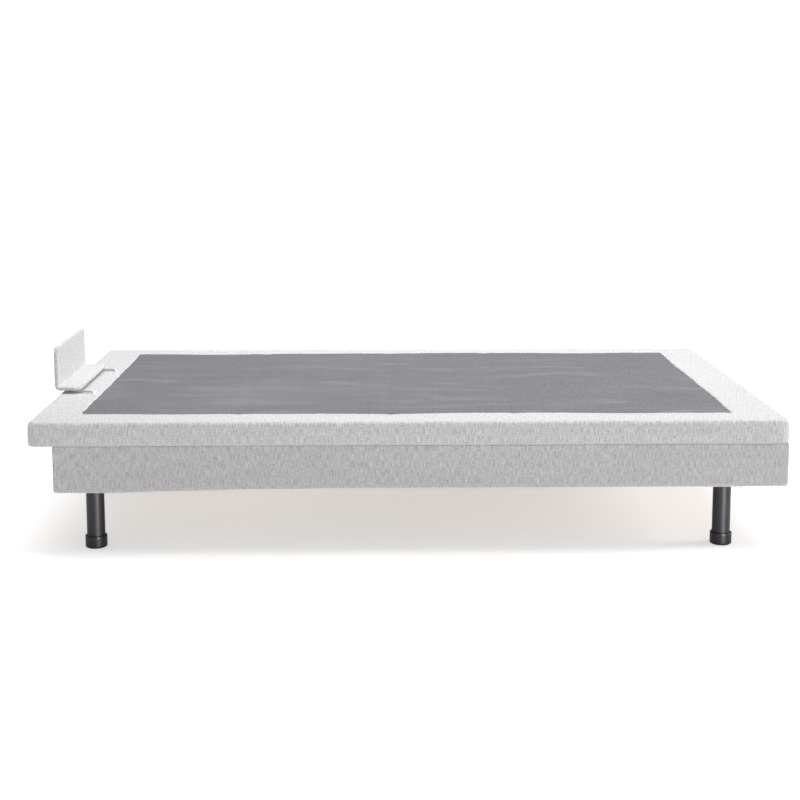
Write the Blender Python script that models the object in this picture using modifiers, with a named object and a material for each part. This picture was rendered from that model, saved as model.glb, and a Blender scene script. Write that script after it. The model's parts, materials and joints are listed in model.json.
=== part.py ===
"""Adjustable bed base: a four-section folding deck on a fabric-covered box with round steel legs.

Metres, +Z up. The origin is on the floor under the middle of the whole object. +X runs to the head end,
-Y is the left side of a person lying on the bed. The moving sections are parented to empties on their hinge
axes, so turning an empty folds the deck.
"""

from math import cos, pi, radians, sin, tan

import bmesh
import bpy
from mathutils import Vector

# ---- driving dimensions -------------------------------------------------------------------------------------
GAP = 0.0003  # between pieces that touch
DECK_LENGTH = 2.000
DECK_WIDTH = 1.200
FOOT_LENGTH = 0.544  # lengths of the folding sections, foot end first
THIGH_LENGTH = 0.406
SEAT_LENGTH = 0.328
BACK_ANGLE = radians(60)
THIGH_ANGLE = radians(35)

BOX_UNDERSIDE = 0.1755  # height of the fabric box above the floor
BOX_HEIGHT = 0.1145
FOOT_OVERHANG = 0.067
HEAD_OVERHANG = 0.004
DECK_TO_BOX = 0.0015
WRAP_THICKNESS = 0.0025
SKIRT_THICKNESS = 0.018

BOARD_THICKNESS = 0.018
BOARD_INSET = 0.004  # board edge behind the cloth
DECK_CORNER = 0.028  # plan radius of the deck's four corners
BOARD_TO_HINGE = 0.002
PAD_TO_HINGE = 0.0015
KNUCKLE_ROOM = 0.0025
PAD_THICKNESS = 0.0415
PAD_EDGE = 0.004
LEAF_THICKNESS = 0.002
LEAF_WIDTH = 0.034
KNUCKLE_RADIUS = 0.0045
HINGE_PIN_RADIUS = 0.0025
HINGE_CLEARANCE = 0.0003
HINGE_MARGIN = 0.050  # hinge ends inside the deck's sides
HINGE_KNUCKLES = 7
FOLD_CLEARANCE = 0.002

RAIL_HEIGHT = 0.0397
RAIL_WIDTH = 0.040
RAIL_WALL = 0.002
RAIL_TO_SKIRT = 0.039
CROSS_HEIGHT = 0.022
CROSS_WIDTH = 0.040
CROSS_TO_TUBE = 0.0037  # under the sections' tubes
CROSS_TO_SKIRT = 0.005
END_ROOM = 0.010  # between a long tube's end and the skirt board
SECTION_TUBE = 0.028
SECTION_CORNER = 0.0045
TUBE_TO_LINK = 0.0048  # between a section's tube and the link beside it
SECTION_TUBE_END = LEAF_WIDTH + 0.003  # a tube ends clear of the hinge leaf
RISER_THICKNESS = 0.006
RISER_END = 0.020

LEG_RADIUS = 0.024
LEG_WALL = 0.002
LEG_FLANGE_LIP = 0.002  # the flange stands out this far round the tube
LEG_FLANGE_THICKNESS = 0.0037
LEG_STUD_RADIUS = 0.005
LEG_STUD_LENGTH = 0.025
LEG_FROM_BOX_END = 0.094
LEG_HEAD_FROM_BOX_END = 0.156
CAP_HEIGHT = 0.033
CAP_FLOOR = 0.008
CAP_ROUND = 0.005
CAP_CLEARANCE = 0.0004
CAP_WALL = 0.0046

ACTUATOR_HEIGHT = 0.2125  # height of both actuators' centre lines
ACTUATOR_SPREAD = 0.080  # each actuator's distance from the middle
TUBE_RADIUS = 0.016
ROD_RADIUS = 0.011
ROD_BORE = 0.007
ROD_CLEARANCE = 0.0006
SPINDLE_RADIUS = 0.006
FORK_REACH = 0.034  # from the fork's pin to its web
FORK_WEB = 0.008
FORK_EAR = 0.0045
FORK_NOSE = 0.011
FORK_HEIGHT = 0.022
FORK_PIN_RADIUS = 0.005
LEVER_THICKNESS = 0.008
LEVER_WALL = 0.008
LEVER_ROOT = 0.052
LEVER_CLEARANCE = 0.0006
BACK_TUBE_LENGTH = 0.208
LEG_TUBE_LENGTH = 0.262
ROD_GUIDED = 0.056  # length of rod left in its tube at full stroke
GEARBOX_LENGTH = 0.120
GEARBOX_WIDTH = 0.056
GEARBOX_HEIGHT = 0.049
MOTOR_RADIUS = 0.023
MOTOR_LENGTH = 0.105
CONTROL_SIZE = (0.160, 0.120, 0.044)
CONTROL_TO_GEARBOX = 0.010
GLAND_RADIUS = 0.008
GLAND_LENGTH = 0.014

LINK_THICKNESS = 0.006
LINK_HALF_WIDTH = 0.012
LINK_TO_RAIL = 0.006
LINK_TO_EAR = 0.0042
LINK_PIN_RADIUS = 0.005
LINK_PIN_CLEARANCE = 0.0005
LINK_FOOT_X = 0.235  # from the foot edge to the link's pin on the foot section
LINK_FOOT_DROP = 0.089  # from the deck's underside to that pin
EAR_THICKNESS = 0.006
EAR_HALF_WIDTH = 0.015

RETAINER_WIDTH = 0.400
RETAINER_HEIGHT = 0.127
RETAINER_DEPTH = 0.075
RETAINER_THICKNESS = 0.012
RETAINER_PROUD = 0.010  # outer face beyond the deck's foot edge
RETAINER_CORNER = 0.024
WIRE_RADIUS = 0.0035
WIRE_REACH = 0.036  # from the plate's edge to the wire's downward bend
WIRE_BEND = 0.009
WIRE_END = 0.020  # from the plate's end to the wire
WIRE_BELOW_BOARD = 0.022
WIRE_CLEARANCE = 0.0010
WIRE_TO_DECK = 0.0005  # above and below the wire
WIRE_TUCK = 0.030  # how far the wire reaches under the plate

# ---- heights and places that follow from them ---------------------------------------------------------------
X_FOOT = (RETAINER_PROUD - DECK_LENGTH) / 2
X_HEAD = X_FOOT + DECK_LENGTH
X_KNEE = X_FOOT + FOOT_LENGTH
X_THIGH = X_KNEE + THIGH_LENGTH
X_BACK = X_THIGH + SEAT_LENGTH
BOX_TOP = BOX_UNDERSIDE + BOX_HEIGHT
BOARD_BOTTOM = BOX_TOP + DECK_TO_BOX
BOARD_TOP = BOARD_BOTTOM + BOARD_THICKNESS
PAD_BOTTOM = BOARD_TOP + LEAF_THICKNESS + 2 * GAP
DECK_TOP = PAD_BOTTOM + PAD_THICKNESS
TOP_PIVOT = BOARD_TOP + GAP + KNUCKLE_RADIUS
KNEE_PIVOT = BOARD_BOTTOM - GAP - KNUCKLE_RADIUS
BOX_FOOT = X_FOOT + FOOT_OVERHANG
BOX_HEAD = X_HEAD - HEAD_OVERHANG
SKIRT_FACE = DECK_WIDTH / 2 - WRAP_THICKNESS - GAP
SKIRT_INSIDE = SKIRT_FACE - SKIRT_THICKNESS
INSIDE_FOOT = BOX_FOOT + WRAP_THICKNESS + SKIRT_THICKNESS + END_ROOM
INSIDE_HEAD = BOX_HEAD - WRAP_THICKNESS - SKIRT_THICKNESS - END_ROOM
RAIL_CENTRE = SKIRT_INSIDE - RAIL_TO_SKIRT - RAIL_WIDTH / 2
TUBE_BOTTOM = BOARD_BOTTOM - GAP - SECTION_TUBE
CROSS_TOP = TUBE_BOTTOM - CROSS_TO_TUBE
CROSS_BOTTOM = CROSS_TOP - CROSS_HEIGHT
RAIL_TOP = CROSS_BOTTOM - GAP
RAIL_BOTTOM = RAIL_TOP - RAIL_HEIGHT
LEVER_ARM = TOP_PIVOT - ACTUATOR_HEIGHT
LINK_VECTOR = Vector((-THIGH_LENGTH, 0, KNEE_PIVOT - TOP_PIVOT))
LINK_UPPER = Vector((X_FOOT + LINK_FOOT_X, 0, BOARD_BOTTOM - LINK_FOOT_DROP))
LINK_LOWER = LINK_UPPER - LINK_VECTOR
LINK_Y = RAIL_CENTRE - RAIL_WIDTH / 2 - LINK_THICKNESS / 2 - LINK_TO_RAIL
WIRE_HEIGHT = DECK_TOP + WIRE_TO_DECK + WIRE_RADIUS
PLATE_BOTTOM = WIRE_HEIGHT + WIRE_RADIUS + WIRE_TO_DECK
TUBE_CENTRE = LINK_Y - LINK_THICKNESS / 2 - TUBE_TO_LINK - SECTION_TUBE / 2
PLATE_OUTER = X_FOOT - RETAINER_PROUD
PLATE_INNER = PLATE_OUTER + RETAINER_DEPTH
WIRE_X = PLATE_INNER + WIRE_REACH
WIRE_Y = RETAINER_WIDTH / 2 - WIRE_END

# ---- colours: linear RGB, roughness, metallic ---------------------------------------------------------------
LINEN = ((0.72, 0.71, 0.72), 0.9, 0.0)
BLACK_STEEL = ((0.045, 0.045, 0.05), 0.42, 0.6)
GREY_STEEL = ((0.20, 0.20, 0.21), 0.45, 0.8)
ZINC = ((0.52, 0.53, 0.55), 0.35, 1.0)
PLYWOOD = ((0.50, 0.36, 0.22), 0.7, 0.0)
BLACK_PLASTIC = ((0.03, 0.03, 0.033), 0.5, 0.0)
GREY_PLASTIC = ((0.10, 0.10, 0.105), 0.55, 0.0)


def clear_scene():
    for obj in list(bpy.data.objects):
        bpy.data.objects.remove(obj, do_unlink=True)


def new_collection(name):
    group = bpy.data.collections.new(name)
    bpy.context.scene.collection.children.link(group)
    return group


def finish(obj, look):
    """Give a piece its own material."""
    colour, roughness, metallic = look
    material = bpy.data.materials.new(obj.name)
    material.use_nodes = True
    shader = material.node_tree.nodes["Principled BSDF"]
    shader.inputs["Base Color"].default_value = (*colour, 1.0)
    shader.inputs["Roughness"].default_value = roughness
    shader.inputs["Metallic"].default_value = metallic
    obj.data.materials.clear()
    obj.data.materials.append(material)


def keep(obj, look, parent=None):
    """Finish a piece and hang it on its body's empty, leaving it where it is."""
    finish(obj, look)
    if parent is not None:
        obj.parent = parent
        obj.matrix_parent_inverse = parent.matrix_world.inverted()
    return obj


def body_empty(name, place, parent=None):
    empty = bpy.data.objects.new(name, None)
    empty.empty_display_size = 0.1
    parts.objects.link(empty)
    if parent is not None:
        empty.parent = parent
        place = place - parent.matrix_world.translation
    empty.location = place
    bpy.context.view_layer.update()
    return empty


def mesh_object(name, bm, group=None):
    mesh = bpy.data.meshes.new(name)
    bm.to_mesh(mesh)
    bm.free()
    obj = bpy.data.objects.new(name, mesh)
    (group or parts).objects.link(obj)
    return obj


def block(name, low, high, rounding=0.0, segments=2, group=None):
    """A box between two corners, with its mesh at its real size so that Bevel keeps its width."""
    low, high = Vector(low), Vector(high)
    bm = bmesh.new()
    bmesh.ops.create_cube(bm, size=1.0)
    bmesh.ops.scale(bm, vec=high - low, verts=bm.verts)
    obj = mesh_object(name, bm, group)
    obj.location = (low + high) / 2
    if rounding > 0:
        add_bevel(obj, rounding, segments)
    return obj


def add_bevel(obj, width, segments=2):
    bevel = obj.modifiers.new("Bevel", "BEVEL")
    bevel.width = width
    bevel.segments = segments
    bevel.limit_method = "ANGLE"
    bevel.angle_limit = radians(40)


def shade_round(obj):
    obj.data.shade_smooth()
    obj.data.set_sharp_from_angle(angle=radians(40))


def cylinder(name, centre, radius, length, axis, sides=20, group=None):
    bm = bmesh.new()
    bmesh.ops.create_cone(bm, cap_ends=True, segments=sides, radius1=radius, radius2=radius, depth=length)
    obj = mesh_object(name, bm, group)
    obj.location = centre
    obj.rotation_euler = {"X": (0, pi / 2, 0), "Y": (pi / 2, 0, 0), "Z": (0, 0, 0)}[axis]
    shade_round(obj)
    return obj


def turned(name, profile, steps=28):
    """A solid of revolution about Z from (radius, height) points that start and end on the axis."""
    mesh = bpy.data.meshes.new(name)
    points = [(radius, 0.0, height) for radius, height in profile]
    mesh.from_pydata(points, [(i, i + 1) for i in range(len(points) - 1)], [])
    obj = bpy.data.objects.new(name, mesh)
    parts.objects.link(obj)
    screw = obj.modifiers.new("Screw", "SCREW")
    screw.steps = steps
    screw.render_steps = steps
    screw.use_merge_vertices = True
    screw.merge_threshold = 0.00005
    screw.use_smooth_shade = True
    return obj


def welded_mesh(curve_object):
    """Turn a curve object into a closed mesh object in the same place."""
    bpy.context.view_layer.update()
    evaluated = curve_object.evaluated_get(bpy.context.evaluated_depsgraph_get())
    mesh = bpy.data.meshes.new_from_object(evaluated)
    bm = bmesh.new()
    bm.from_mesh(mesh)
    bmesh.ops.remove_doubles(bm, verts=bm.verts, dist=0.00001)
    bm.to_mesh(mesh)
    bm.free()
    name = curve_object.name
    place = curve_object.matrix_world.copy()
    bpy.data.objects.remove(curve_object, do_unlink=True)
    obj = bpy.data.objects.new(name, mesh)
    mesh.name = name
    obj.matrix_world = place
    parts.objects.link(obj)
    return obj


def plate(name, outlines, thickness, centre=(0, 0, 0), plane="XZ"):
    """A flat piece: closed outlines in a plane, the first outside and any others holes, thickened evenly."""
    curve = bpy.data.curves.new(name, "CURVE")
    curve.dimensions = "2D"
    curve.fill_mode = "BOTH"
    curve.extrude = thickness / 2
    for outline in outlines:
        spline = curve.splines.new("POLY")
        spline.points.add(len(outline) - 1)
        for point, (across, up) in zip(spline.points, outline):
            point.co = (across, up, 0, 1)
        spline.use_cyclic_u = True
    obj = bpy.data.objects.new(name, curve)
    obj.location = centre
    obj.rotation_euler = {"XZ": (pi / 2, 0, 0), "YZ": (pi / 2, 0, pi / 2), "XY": (0, 0, 0)}[plane]
    parts.objects.link(obj)
    return welded_mesh(obj)


def arc(centre, radius, start, end, count):
    """Points on an arc, both ends included; angles in radians from the first axis."""
    step = (end - start) / (count - 1)
    return [
        (centre[0] + radius * cos(start + i * step), centre[1] + radius * sin(start + i * step))
        for i in range(count)
    ]


def rounded_rectangle(width, height, radius, count=4):
    corners = [(1, 1, 0), (-1, 1, pi / 2), (-1, -1, pi), (1, -1, 3 * pi / 2)]
    points = []
    for side, end, start in corners:
        centre = (side * (width / 2 - radius), end * (height / 2 - radius))
        points += arc(centre, radius, start, start + pi / 2, count)
    return points


def hollow_tube(name, low, high, axis, wall=RAIL_WALL, corner=0.005):
    """A square steel tube along X or Y between two corners."""
    low, high = Vector(low), Vector(high)
    size = high - low
    length = size.x if axis == "X" else size.y
    width = size.y if axis == "X" else size.x
    outside = rounded_rectangle(width, size.z, corner)
    inside = rounded_rectangle(width - 2 * wall, size.z - 2 * wall, corner - wall)
    return plate(name, [outside, inside], length, (low + high) / 2, "YZ" if axis == "X" else "XZ")


def boolean(obj, tool, operation):
    tool.hide_render = True
    tool.display_type = "WIRE"
    modifier = obj.modifiers.new(tool.name, "BOOLEAN")
    modifier.operation = operation
    modifier.solver = "EXACT"
    modifier.object = tool


def cut(obj, tool):
    boolean(obj, tool, "DIFFERENCE")


def join(obj, tool):
    """Unite a piece with a tool, which moves to the cutters' collection."""
    if tool.name in parts.objects:
        parts.objects.unlink(tool)
        cutters.objects.link(tool)
    boolean(obj, tool, "UNION")


# ---- legs and box -------------------------------------------------------------------------------------------
def make_leg(name, x, y):
    """Round tube with a closed flange and a threaded stud that enters the rail, in one turned piece."""
    flange_top = RAIL_BOTTOM - GAP
    flange_bottom = flange_top - LEG_FLANGE_THICKNESS
    foot = CAP_FLOOR + CAP_CLEARANCE
    bore = LEG_RADIUS - LEG_WALL
    flange = LEG_RADIUS + LEG_FLANGE_LIP
    leg = turned(name, [
        (0, flange_top + LEG_STUD_LENGTH),
        (LEG_STUD_RADIUS, flange_top + LEG_STUD_LENGTH),
        (LEG_STUD_RADIUS, flange_top),
        (flange, flange_top),
        (flange, flange_bottom),
        (LEG_RADIUS, flange_bottom),
        (LEG_RADIUS, foot),
        (bore, foot),
        (bore, flange_bottom),
        (0, flange_bottom),
    ])
    leg.location = (x, y, 0)
    keep(leg, BLACK_STEEL)
    mouth = LEG_RADIUS + CAP_CLEARANCE
    outside = mouth + CAP_WALL
    edge = arc((outside - CAP_ROUND, CAP_ROUND), CAP_ROUND, 0, -pi / 2, 4)
    cap = turned(name.replace("leg", "foot_cap"), [
        (0, CAP_FLOOR),
        (mouth, CAP_FLOOR),
        (mouth, CAP_HEIGHT),
        (outside, CAP_HEIGHT),
        *edge,
        (0, 0),
    ])
    cap.location = (x, y, 0)
    keep(cap, BLACK_PLASTIC)


def leg_places():
    foot_x = BOX_FOOT + LEG_FROM_BOX_END
    head_x = BOX_HEAD - LEG_HEAD_FROM_BOX_END
    return {
        "leg_foot_left": (foot_x, -RAIL_CENTRE),
        "leg_foot_right": (foot_x, RAIL_CENTRE),
        "leg_head_left": (head_x, -RAIL_CENTRE),
        "leg_head_right": (head_x, RAIL_CENTRE),
    }


def make_box():
    """Four skirt boards and the cloth sleeve round them."""
    bottom = BOX_UNDERSIDE + WRAP_THICKNESS
    low_x = BOX_FOOT + WRAP_THICKNESS + GAP
    high_x = BOX_HEAD - WRAP_THICKNESS - GAP
    for side, name in ((-1, "skirt_left"), (1, "skirt_right")):
        inner, outer = sorted((side * SKIRT_INSIDE, side * SKIRT_FACE))
        board = block(name, (low_x, inner, bottom), (high_x, outer, BOX_TOP - GAP))
        keep(board, PLYWOOD)
    width = SKIRT_INSIDE - GAP
    for name, x in (("skirt_foot", low_x), ("skirt_head", high_x - SKIRT_THICKNESS)):
        board = block(name, (x, -width, bottom), (x + SKIRT_THICKNESS, width, BOX_TOP - GAP))
        keep(board, PLYWOOD)
    centre = ((BOX_FOOT + BOX_HEAD) / 2, 0, (BOX_UNDERSIDE + BOX_TOP) / 2)
    length = BOX_HEAD - BOX_FOOT
    inner_length = length - 2 * WRAP_THICKNESS
    inner_width = DECK_WIDTH - 2 * WRAP_THICKNESS
    outside = rounded_rectangle(length, DECK_WIDTH, WRAP_THICKNESS)
    inside = rounded_rectangle(inner_length, inner_width, 0.0002, 2)
    wrap = plate("box_wrap", [outside, inside], BOX_TOP - BOX_UNDERSIDE, centre, "XY")
    keep(wrap, LINEN)


def make_rail(name, side):
    """A long steel tube with the holes that its legs' studs and its link's pin enter."""
    y = side * RAIL_CENTRE
    low = (INSIDE_FOOT, y - RAIL_WIDTH / 2, RAIL_BOTTOM)
    high = (INSIDE_HEAD, y + RAIL_WIDTH / 2, RAIL_TOP)
    rail = hollow_tube(name, low, high, "X")
    for leg, (x, leg_y) in leg_places().items():
        if leg_y * side > 0:
            hole = cylinder(
                f"{leg}_hole", (x, y, RAIL_BOTTOM), LEG_STUD_RADIUS + GAP, RAIL_HEIGHT, "Z", 16, cutters
            )
            cut(rail, hole)
    pin_hole = cylinder(
        f"{name}_pin_hole",
        (LINK_LOWER.x, side * (RAIL_CENTRE - RAIL_WIDTH / 2), LINK_LOWER.z),
        LINK_PIN_RADIUS + LINK_PIN_CLEARANCE,
        RAIL_WIDTH / 2,
        "Y",
        16,
        cutters,
    )
    cut(rail, pin_hole)
    keep(rail, BLACK_STEEL)


def make_frame():
    make_rail("rail_left", -1)
    make_rail("rail_right", 1)
    reach = RAIL_CENTRE + RAIL_WIDTH / 2
    for name, x in (("cross_foot", CROSS_FOOT_X), ("cross_legs", CROSS_LEGS_X), ("cross_back", CROSS_BACK_X)):
        cross = hollow_tube(
            name,
            (x - CROSS_WIDTH / 2, -reach, CROSS_BOTTOM),
            (x + CROSS_WIDTH / 2, reach, CROSS_TOP),
            "Y",
            corner=SECTION_CORNER,
        )
        keep(cross, BLACK_STEEL)
    for side, name in ((-1, "seat_riser_left"), (1, "seat_riser_right")):
        y = side * RAIL_CENTRE
        riser = block(
            name,
            (X_THIGH + RISER_END, y - RISER_THICKNESS / 2, RAIL_TOP + GAP),
            (X_BACK - RISER_END, y + RISER_THICKNESS / 2, BOARD_BOTTOM - GAP),
        )
        keep(riser, BLACK_STEEL)


# ---- deck sections ------------------------------------------------------------------------------------------
def pad_outline(low, high, relief_low, relief_high):
    """Side view of a pad: an end at a top-closing hinge leans back so that the pads don't meet when folded."""
    upright = TOP_PIVOT + KNUCKLE_RADIUS
    knuckle_room = KNUCKLE_RADIUS + KNUCKLE_ROOM
    points = []
    for x, inward, relief in ((low, 1, relief_low), (high, -1, relief_high)):
        if relief > 0:
            end = [
                (x + inward * knuckle_room, PAD_BOTTOM),
                (x + inward * knuckle_room, upright),
                (x + inward * relief, DECK_TOP),
            ]
        else:
            end = [(x, PAD_BOTTOM), (x, DECK_TOP)]
        points += end if inward < 0 else end[::-1]
    return points


def fold_relief(angle):
    """How far back a pad's top edge starts from a hinge below it that closes by this angle."""
    return (DECK_TOP - TOP_PIVOT) * tan(angle / 2) + FOLD_CLEARANCE


def board_outline(low, high, free_low, free_high):
    """Plan of a board; the corners of a free end are rounded to follow the deck's corners."""
    half = DECK_WIDTH / 2 - BOARD_INSET
    radius = DECK_CORNER - BOARD_INSET
    corners = (
        (high, half, -1, -1, free_high, 0),
        (low, half, 1, -1, free_low, pi / 2),
        (low, -half, 1, 1, free_low, pi),
        (high, -half, -1, 1, free_high, 3 * pi / 2),
    )
    points = []
    for x, y, inward_x, inward_y, free, start in corners:
        if free:
            centre = (x + inward_x * radius, y + inward_y * radius)
            points += arc(centre, radius, start, start + pi / 2, 7)
        else:
            points.append((x, y))
    return points


def make_section(name, low, high, relief_low, relief_high, parent, free_low=False, free_high=False):
    """One section's board and pad. A free end has no neighbour; other ends stop short of the hinge line."""
    board_low = low + (BOARD_INSET if free_low else BOARD_TO_HINGE)
    board_high = high - (BOARD_INSET if free_high else BOARD_TO_HINGE)
    plan = board_outline(board_low, board_high, free_low, free_high)
    middle = (0, 0, (BOARD_BOTTOM + BOARD_TOP) / 2)
    board = plate(f"{name}_board", [plan], BOARD_THICKNESS, middle, "XY")
    pad_low = low if free_low or relief_low > 0 else low + PAD_TO_HINGE
    pad_high = high if free_high or relief_high > 0 else high - PAD_TO_HINGE
    outline = pad_outline(pad_low, pad_high, relief_low, relief_high)
    pad = plate(f"{name}_pad", [outline], DECK_WIDTH)
    add_bevel(pad, PAD_EDGE)
    keep(board, PLYWOOD, parent)
    keep(pad, LINEN, parent)
    return board, pad


def make_section_tubes(name, low, high, parent):
    tubes = []
    for side, hand in ((-1, "left"), (1, "right")):
        y = side * TUBE_CENTRE
        tube = hollow_tube(
            f"{name}_tube_{hand}",
            (low, y - SECTION_TUBE / 2, BOARD_BOTTOM - GAP - SECTION_TUBE),
            (high, y + SECTION_TUBE / 2, BOARD_BOTTOM - GAP),
            "X",
            corner=SECTION_CORNER,
        )
        tubes.append(keep(tube, GREY_STEEL, parent))
    return tubes


def hinge_leaf(name, x, pivot_z, side, first, flip, parent):
    """Half of a continuous hinge: a strip rolled round the pin, notched where the other half's knuckles are.

    side is +1 where the strip lies towards the head, first says which knuckles it owns, and flip puts the
    strip above the pin, against the underside of the boards."""
    up = 1 if flip else -1
    edge = up * KNUCKLE_RADIUS
    bore = HINGE_PIN_RADIUS + HINGE_CLEARANCE
    inner = edge - up * LEAF_THICKNESS
    start = -pi / 2 if up > 0 else pi / 2
    turn = arc((0, 0), KNUCKLE_RADIUS, start, start + pi, 9)
    if up > 0:
        turn = [(-across, height) for across, height in turn]
    outline = [*turn, (LEAF_WIDTH, edge), (LEAF_WIDTH, inner)]
    join_x = (KNUCKLE_RADIUS**2 - inner**2) ** 0.5
    outline += [(join_x, inner), (KNUCKLE_RADIUS * cos(pi / 6), -edge * 0.5)]
    outline = [(x + side * across, pivot_z + height) for across, height in outline]
    hole = arc((x, pivot_z), bore, 0, 2 * pi * 11 / 12, 12)
    length = DECK_WIDTH - 2 * HINGE_MARGIN
    leaf = plate(name, [outline, hole], length)
    pitch = length / HINGE_KNUCKLES
    for number in range(HINGE_KNUCKLES):
        if number % 2 == first:
            continue
        low = -length / 2 + number * pitch - HINGE_CLEARANCE
        high = low + pitch + 2 * HINGE_CLEARANCE
        near = x - side * (KNUCKLE_RADIUS + 0.002)
        far = x + side * (KNUCKLE_RADIUS + 0.0015)
        reach = KNUCKLE_RADIUS + 0.002
        notch = block(
            f"{name}_notch_{number}",
            (min(near, far), low, pivot_z - reach),
            (max(near, far), high, pivot_z + reach),
            group=cutters,
        )
        cut(leaf, notch)
    return keep(leaf, ZINC, parent)


def make_hinge(name, x, pivot_z, fixed_side, flip, fixed_parent, moving_parent):
    """A continuous hinge: two leaves and the pin, which stays with the fixed leaf."""
    hinge_leaf(f"{name}_leaf_fixed", x, pivot_z, fixed_side, 0, flip, fixed_parent)
    hinge_leaf(f"{name}_leaf_moving", x, pivot_z, -fixed_side, 1, flip, moving_parent)
    length = DECK_WIDTH - 2 * HINGE_MARGIN + 0.004
    pin = cylinder(f"{name}_pin", (x, 0, pivot_z), HINGE_PIN_RADIUS, length, "Y", 12)
    keep(pin, ZINC, fixed_parent)


# ---- actuators ----------------------------------------------------------------------------------------------
def rod_error(angle):
    """Largest distance between a rod in fixed ratio and the exact place of its lever's slot."""
    steps = 24
    errors = []
    for i in range(steps + 1):
        turned_by = angle * i / steps
        exact = tan(turned_by - angle / 2) + tan(angle / 2)
        even = 2 * tan(angle / 2) * i / steps
        errors.append(abs(exact - even) * cos(turned_by - angle / 2))
    return LEVER_ARM * max(errors)


def make_lever(name, x, y, side, angle, parent):
    """Slotted lever under a section: it leans half the section's angle at rest, and as far past at the end."""
    lean = angle / 2
    half_slot = FORK_PIN_RADIUS + rod_error(angle) + LEVER_CLEARANCE
    near = LEVER_ARM - 0.001
    far = LEVER_ARM / cos(lean) + 0.001
    width = half_slot + LEVER_WALL
    down = Vector((-sin(lean), -cos(lean)))
    across = Vector((cos(lean), -sin(lean)))
    top = BOARD_BOTTOM - GAP - TOP_PIVOT

    def swing(radius, distance, start, end, count=9):
        centre = down * distance
        step = (end - start) / (count - 1)
        return [
            centre + radius * (across * cos(start + i * step) + down * sin(start + i * step))
            for i in range(count)
        ]

    outline = [Vector((0.008, top)), Vector((0.008 + LEVER_ROOT, top))]
    outline += swing(width, far, 0, pi)
    outline.append(down * (near - 0.012) - across * width)
    slot = swing(half_slot, far, 0, pi) + swing(half_slot, near, pi, 2 * pi)
    flats = [[(x + side * p.x, TOP_PIVOT + p.y) for p in points] for points in (outline, slot)]
    lever = plate(name, flats, LEVER_THICKNESS, (0, y, 0))
    return keep(lever, BLACK_STEEL, parent)


def make_rod(name, pin_x, y, direction, length, parent):
    """Hollow push rod with its fork and the fork's pin; it points along direction (+1 or -1 in X)."""
    web = FORK_REACH + FORK_WEB
    rod = turned(name, [
        (0, length),
        (ROD_RADIUS, length),
        (ROD_RADIUS, 0),
        (ROD_BORE, 0),
        (ROD_BORE, length - FORK_WEB),
        (0, length - FORK_WEB),
    ], 20)
    rod.location = (pin_x - direction * (web - 0.002 + length), y, ACTUATOR_HEIGHT)
    rod.rotation_euler = (0, direction * pi / 2, 0)
    half_gap = LEVER_THICKNESS / 2 + LEVER_CLEARANCE
    half = half_gap + FORK_EAR
    corners = [(-web, -half), (FORK_NOSE, -half), (FORK_NOSE, -half_gap), (-FORK_REACH, -half_gap)]
    corners += [(along, -across) for along, across in reversed(corners)]
    fork = plate(f"{name}_fork", [[(direction * a, b) for a, b in corners]], FORK_HEIGHT,
                 (pin_x, y, ACTUATOR_HEIGHT), "XY")
    pin = cylinder(
        f"{name}_fork_pin", (pin_x, y, ACTUATOR_HEIGHT), FORK_PIN_RADIUS, 2 * half + 0.004, "Y", 16, cutters
    )
    join(rod, fork)
    join(rod, pin)
    return keep(rod, ZINC, parent)


def make_actuator(name, pin_x, y, direction, tube_length, stroke, body):
    """Motor, gearbox, outer tube and spindle fixed to the frame, and the rod that pushes the lever."""
    mouth = pin_x - direction * (FORK_REACH + FORK_WEB + 0.008)
    tail = mouth - direction * tube_length
    tube_bore = ROD_RADIUS + ROD_CLEARANCE
    tube = turned(f"outer_tube_{name}", [
        (tube_bore, tube_length),
        (TUBE_RADIUS, tube_length),
        (TUBE_RADIUS, 0),
        (tube_bore, 0),
        (tube_bore, tube_length),
    ], 20)
    tube.location = (tail, y, ACTUATOR_HEIGHT)
    tube.rotation_euler = (0, direction * pi / 2, 0)
    keep(tube, ZINC)
    ends = sorted((tail - direction * GAP, tail - direction * (GAP + GEARBOX_LENGTH)))
    gearbox = block(
        f"gearbox_{name}",
        (ends[0], y - GEARBOX_WIDTH / 2, RAIL_TOP - GEARBOX_HEIGHT),
        (ends[1], y + GEARBOX_WIDTH / 2, RAIL_TOP),
        0.008,
        3,
    )
    keep(gearbox, BLACK_PLASTIC)
    outward = 1 if y > 0 else -1
    motor = turned(f"motor_{name}", [
        (0, MOTOR_LENGTH),
        (MOTOR_RADIUS * 0.4, MOTOR_LENGTH),
        (MOTOR_RADIUS * 0.4, MOTOR_LENGTH - 0.006),
        (MOTOR_RADIUS - 0.003, MOTOR_LENGTH - 0.006),
        (MOTOR_RADIUS, MOTOR_LENGTH - 0.009),
        (MOTOR_RADIUS, 0),
        (0, 0),
    ], 24)
    motor.location = (sum(ends) / 2, y + outward * (GEARBOX_WIDTH / 2 + GAP), ACTUATOR_HEIGHT)
    motor.rotation_euler = (-outward * pi / 2, 0, 0)
    keep(motor, GREY_STEEL)
    rod_length = ROD_GUIDED + stroke + 0.008
    spindle_length = tube_length - GAP
    spindle = cylinder(
        f"spindle_{name}",
        ((tail + mouth) / 2, y, ACTUATOR_HEIGHT),
        SPINDLE_RADIUS,
        spindle_length - 0.004,
        "X",
        12,
    )
    keep(spindle, ZINC)
    make_rod(f"rod_{name}", pin_x, y, direction, rod_length, body)


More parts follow.
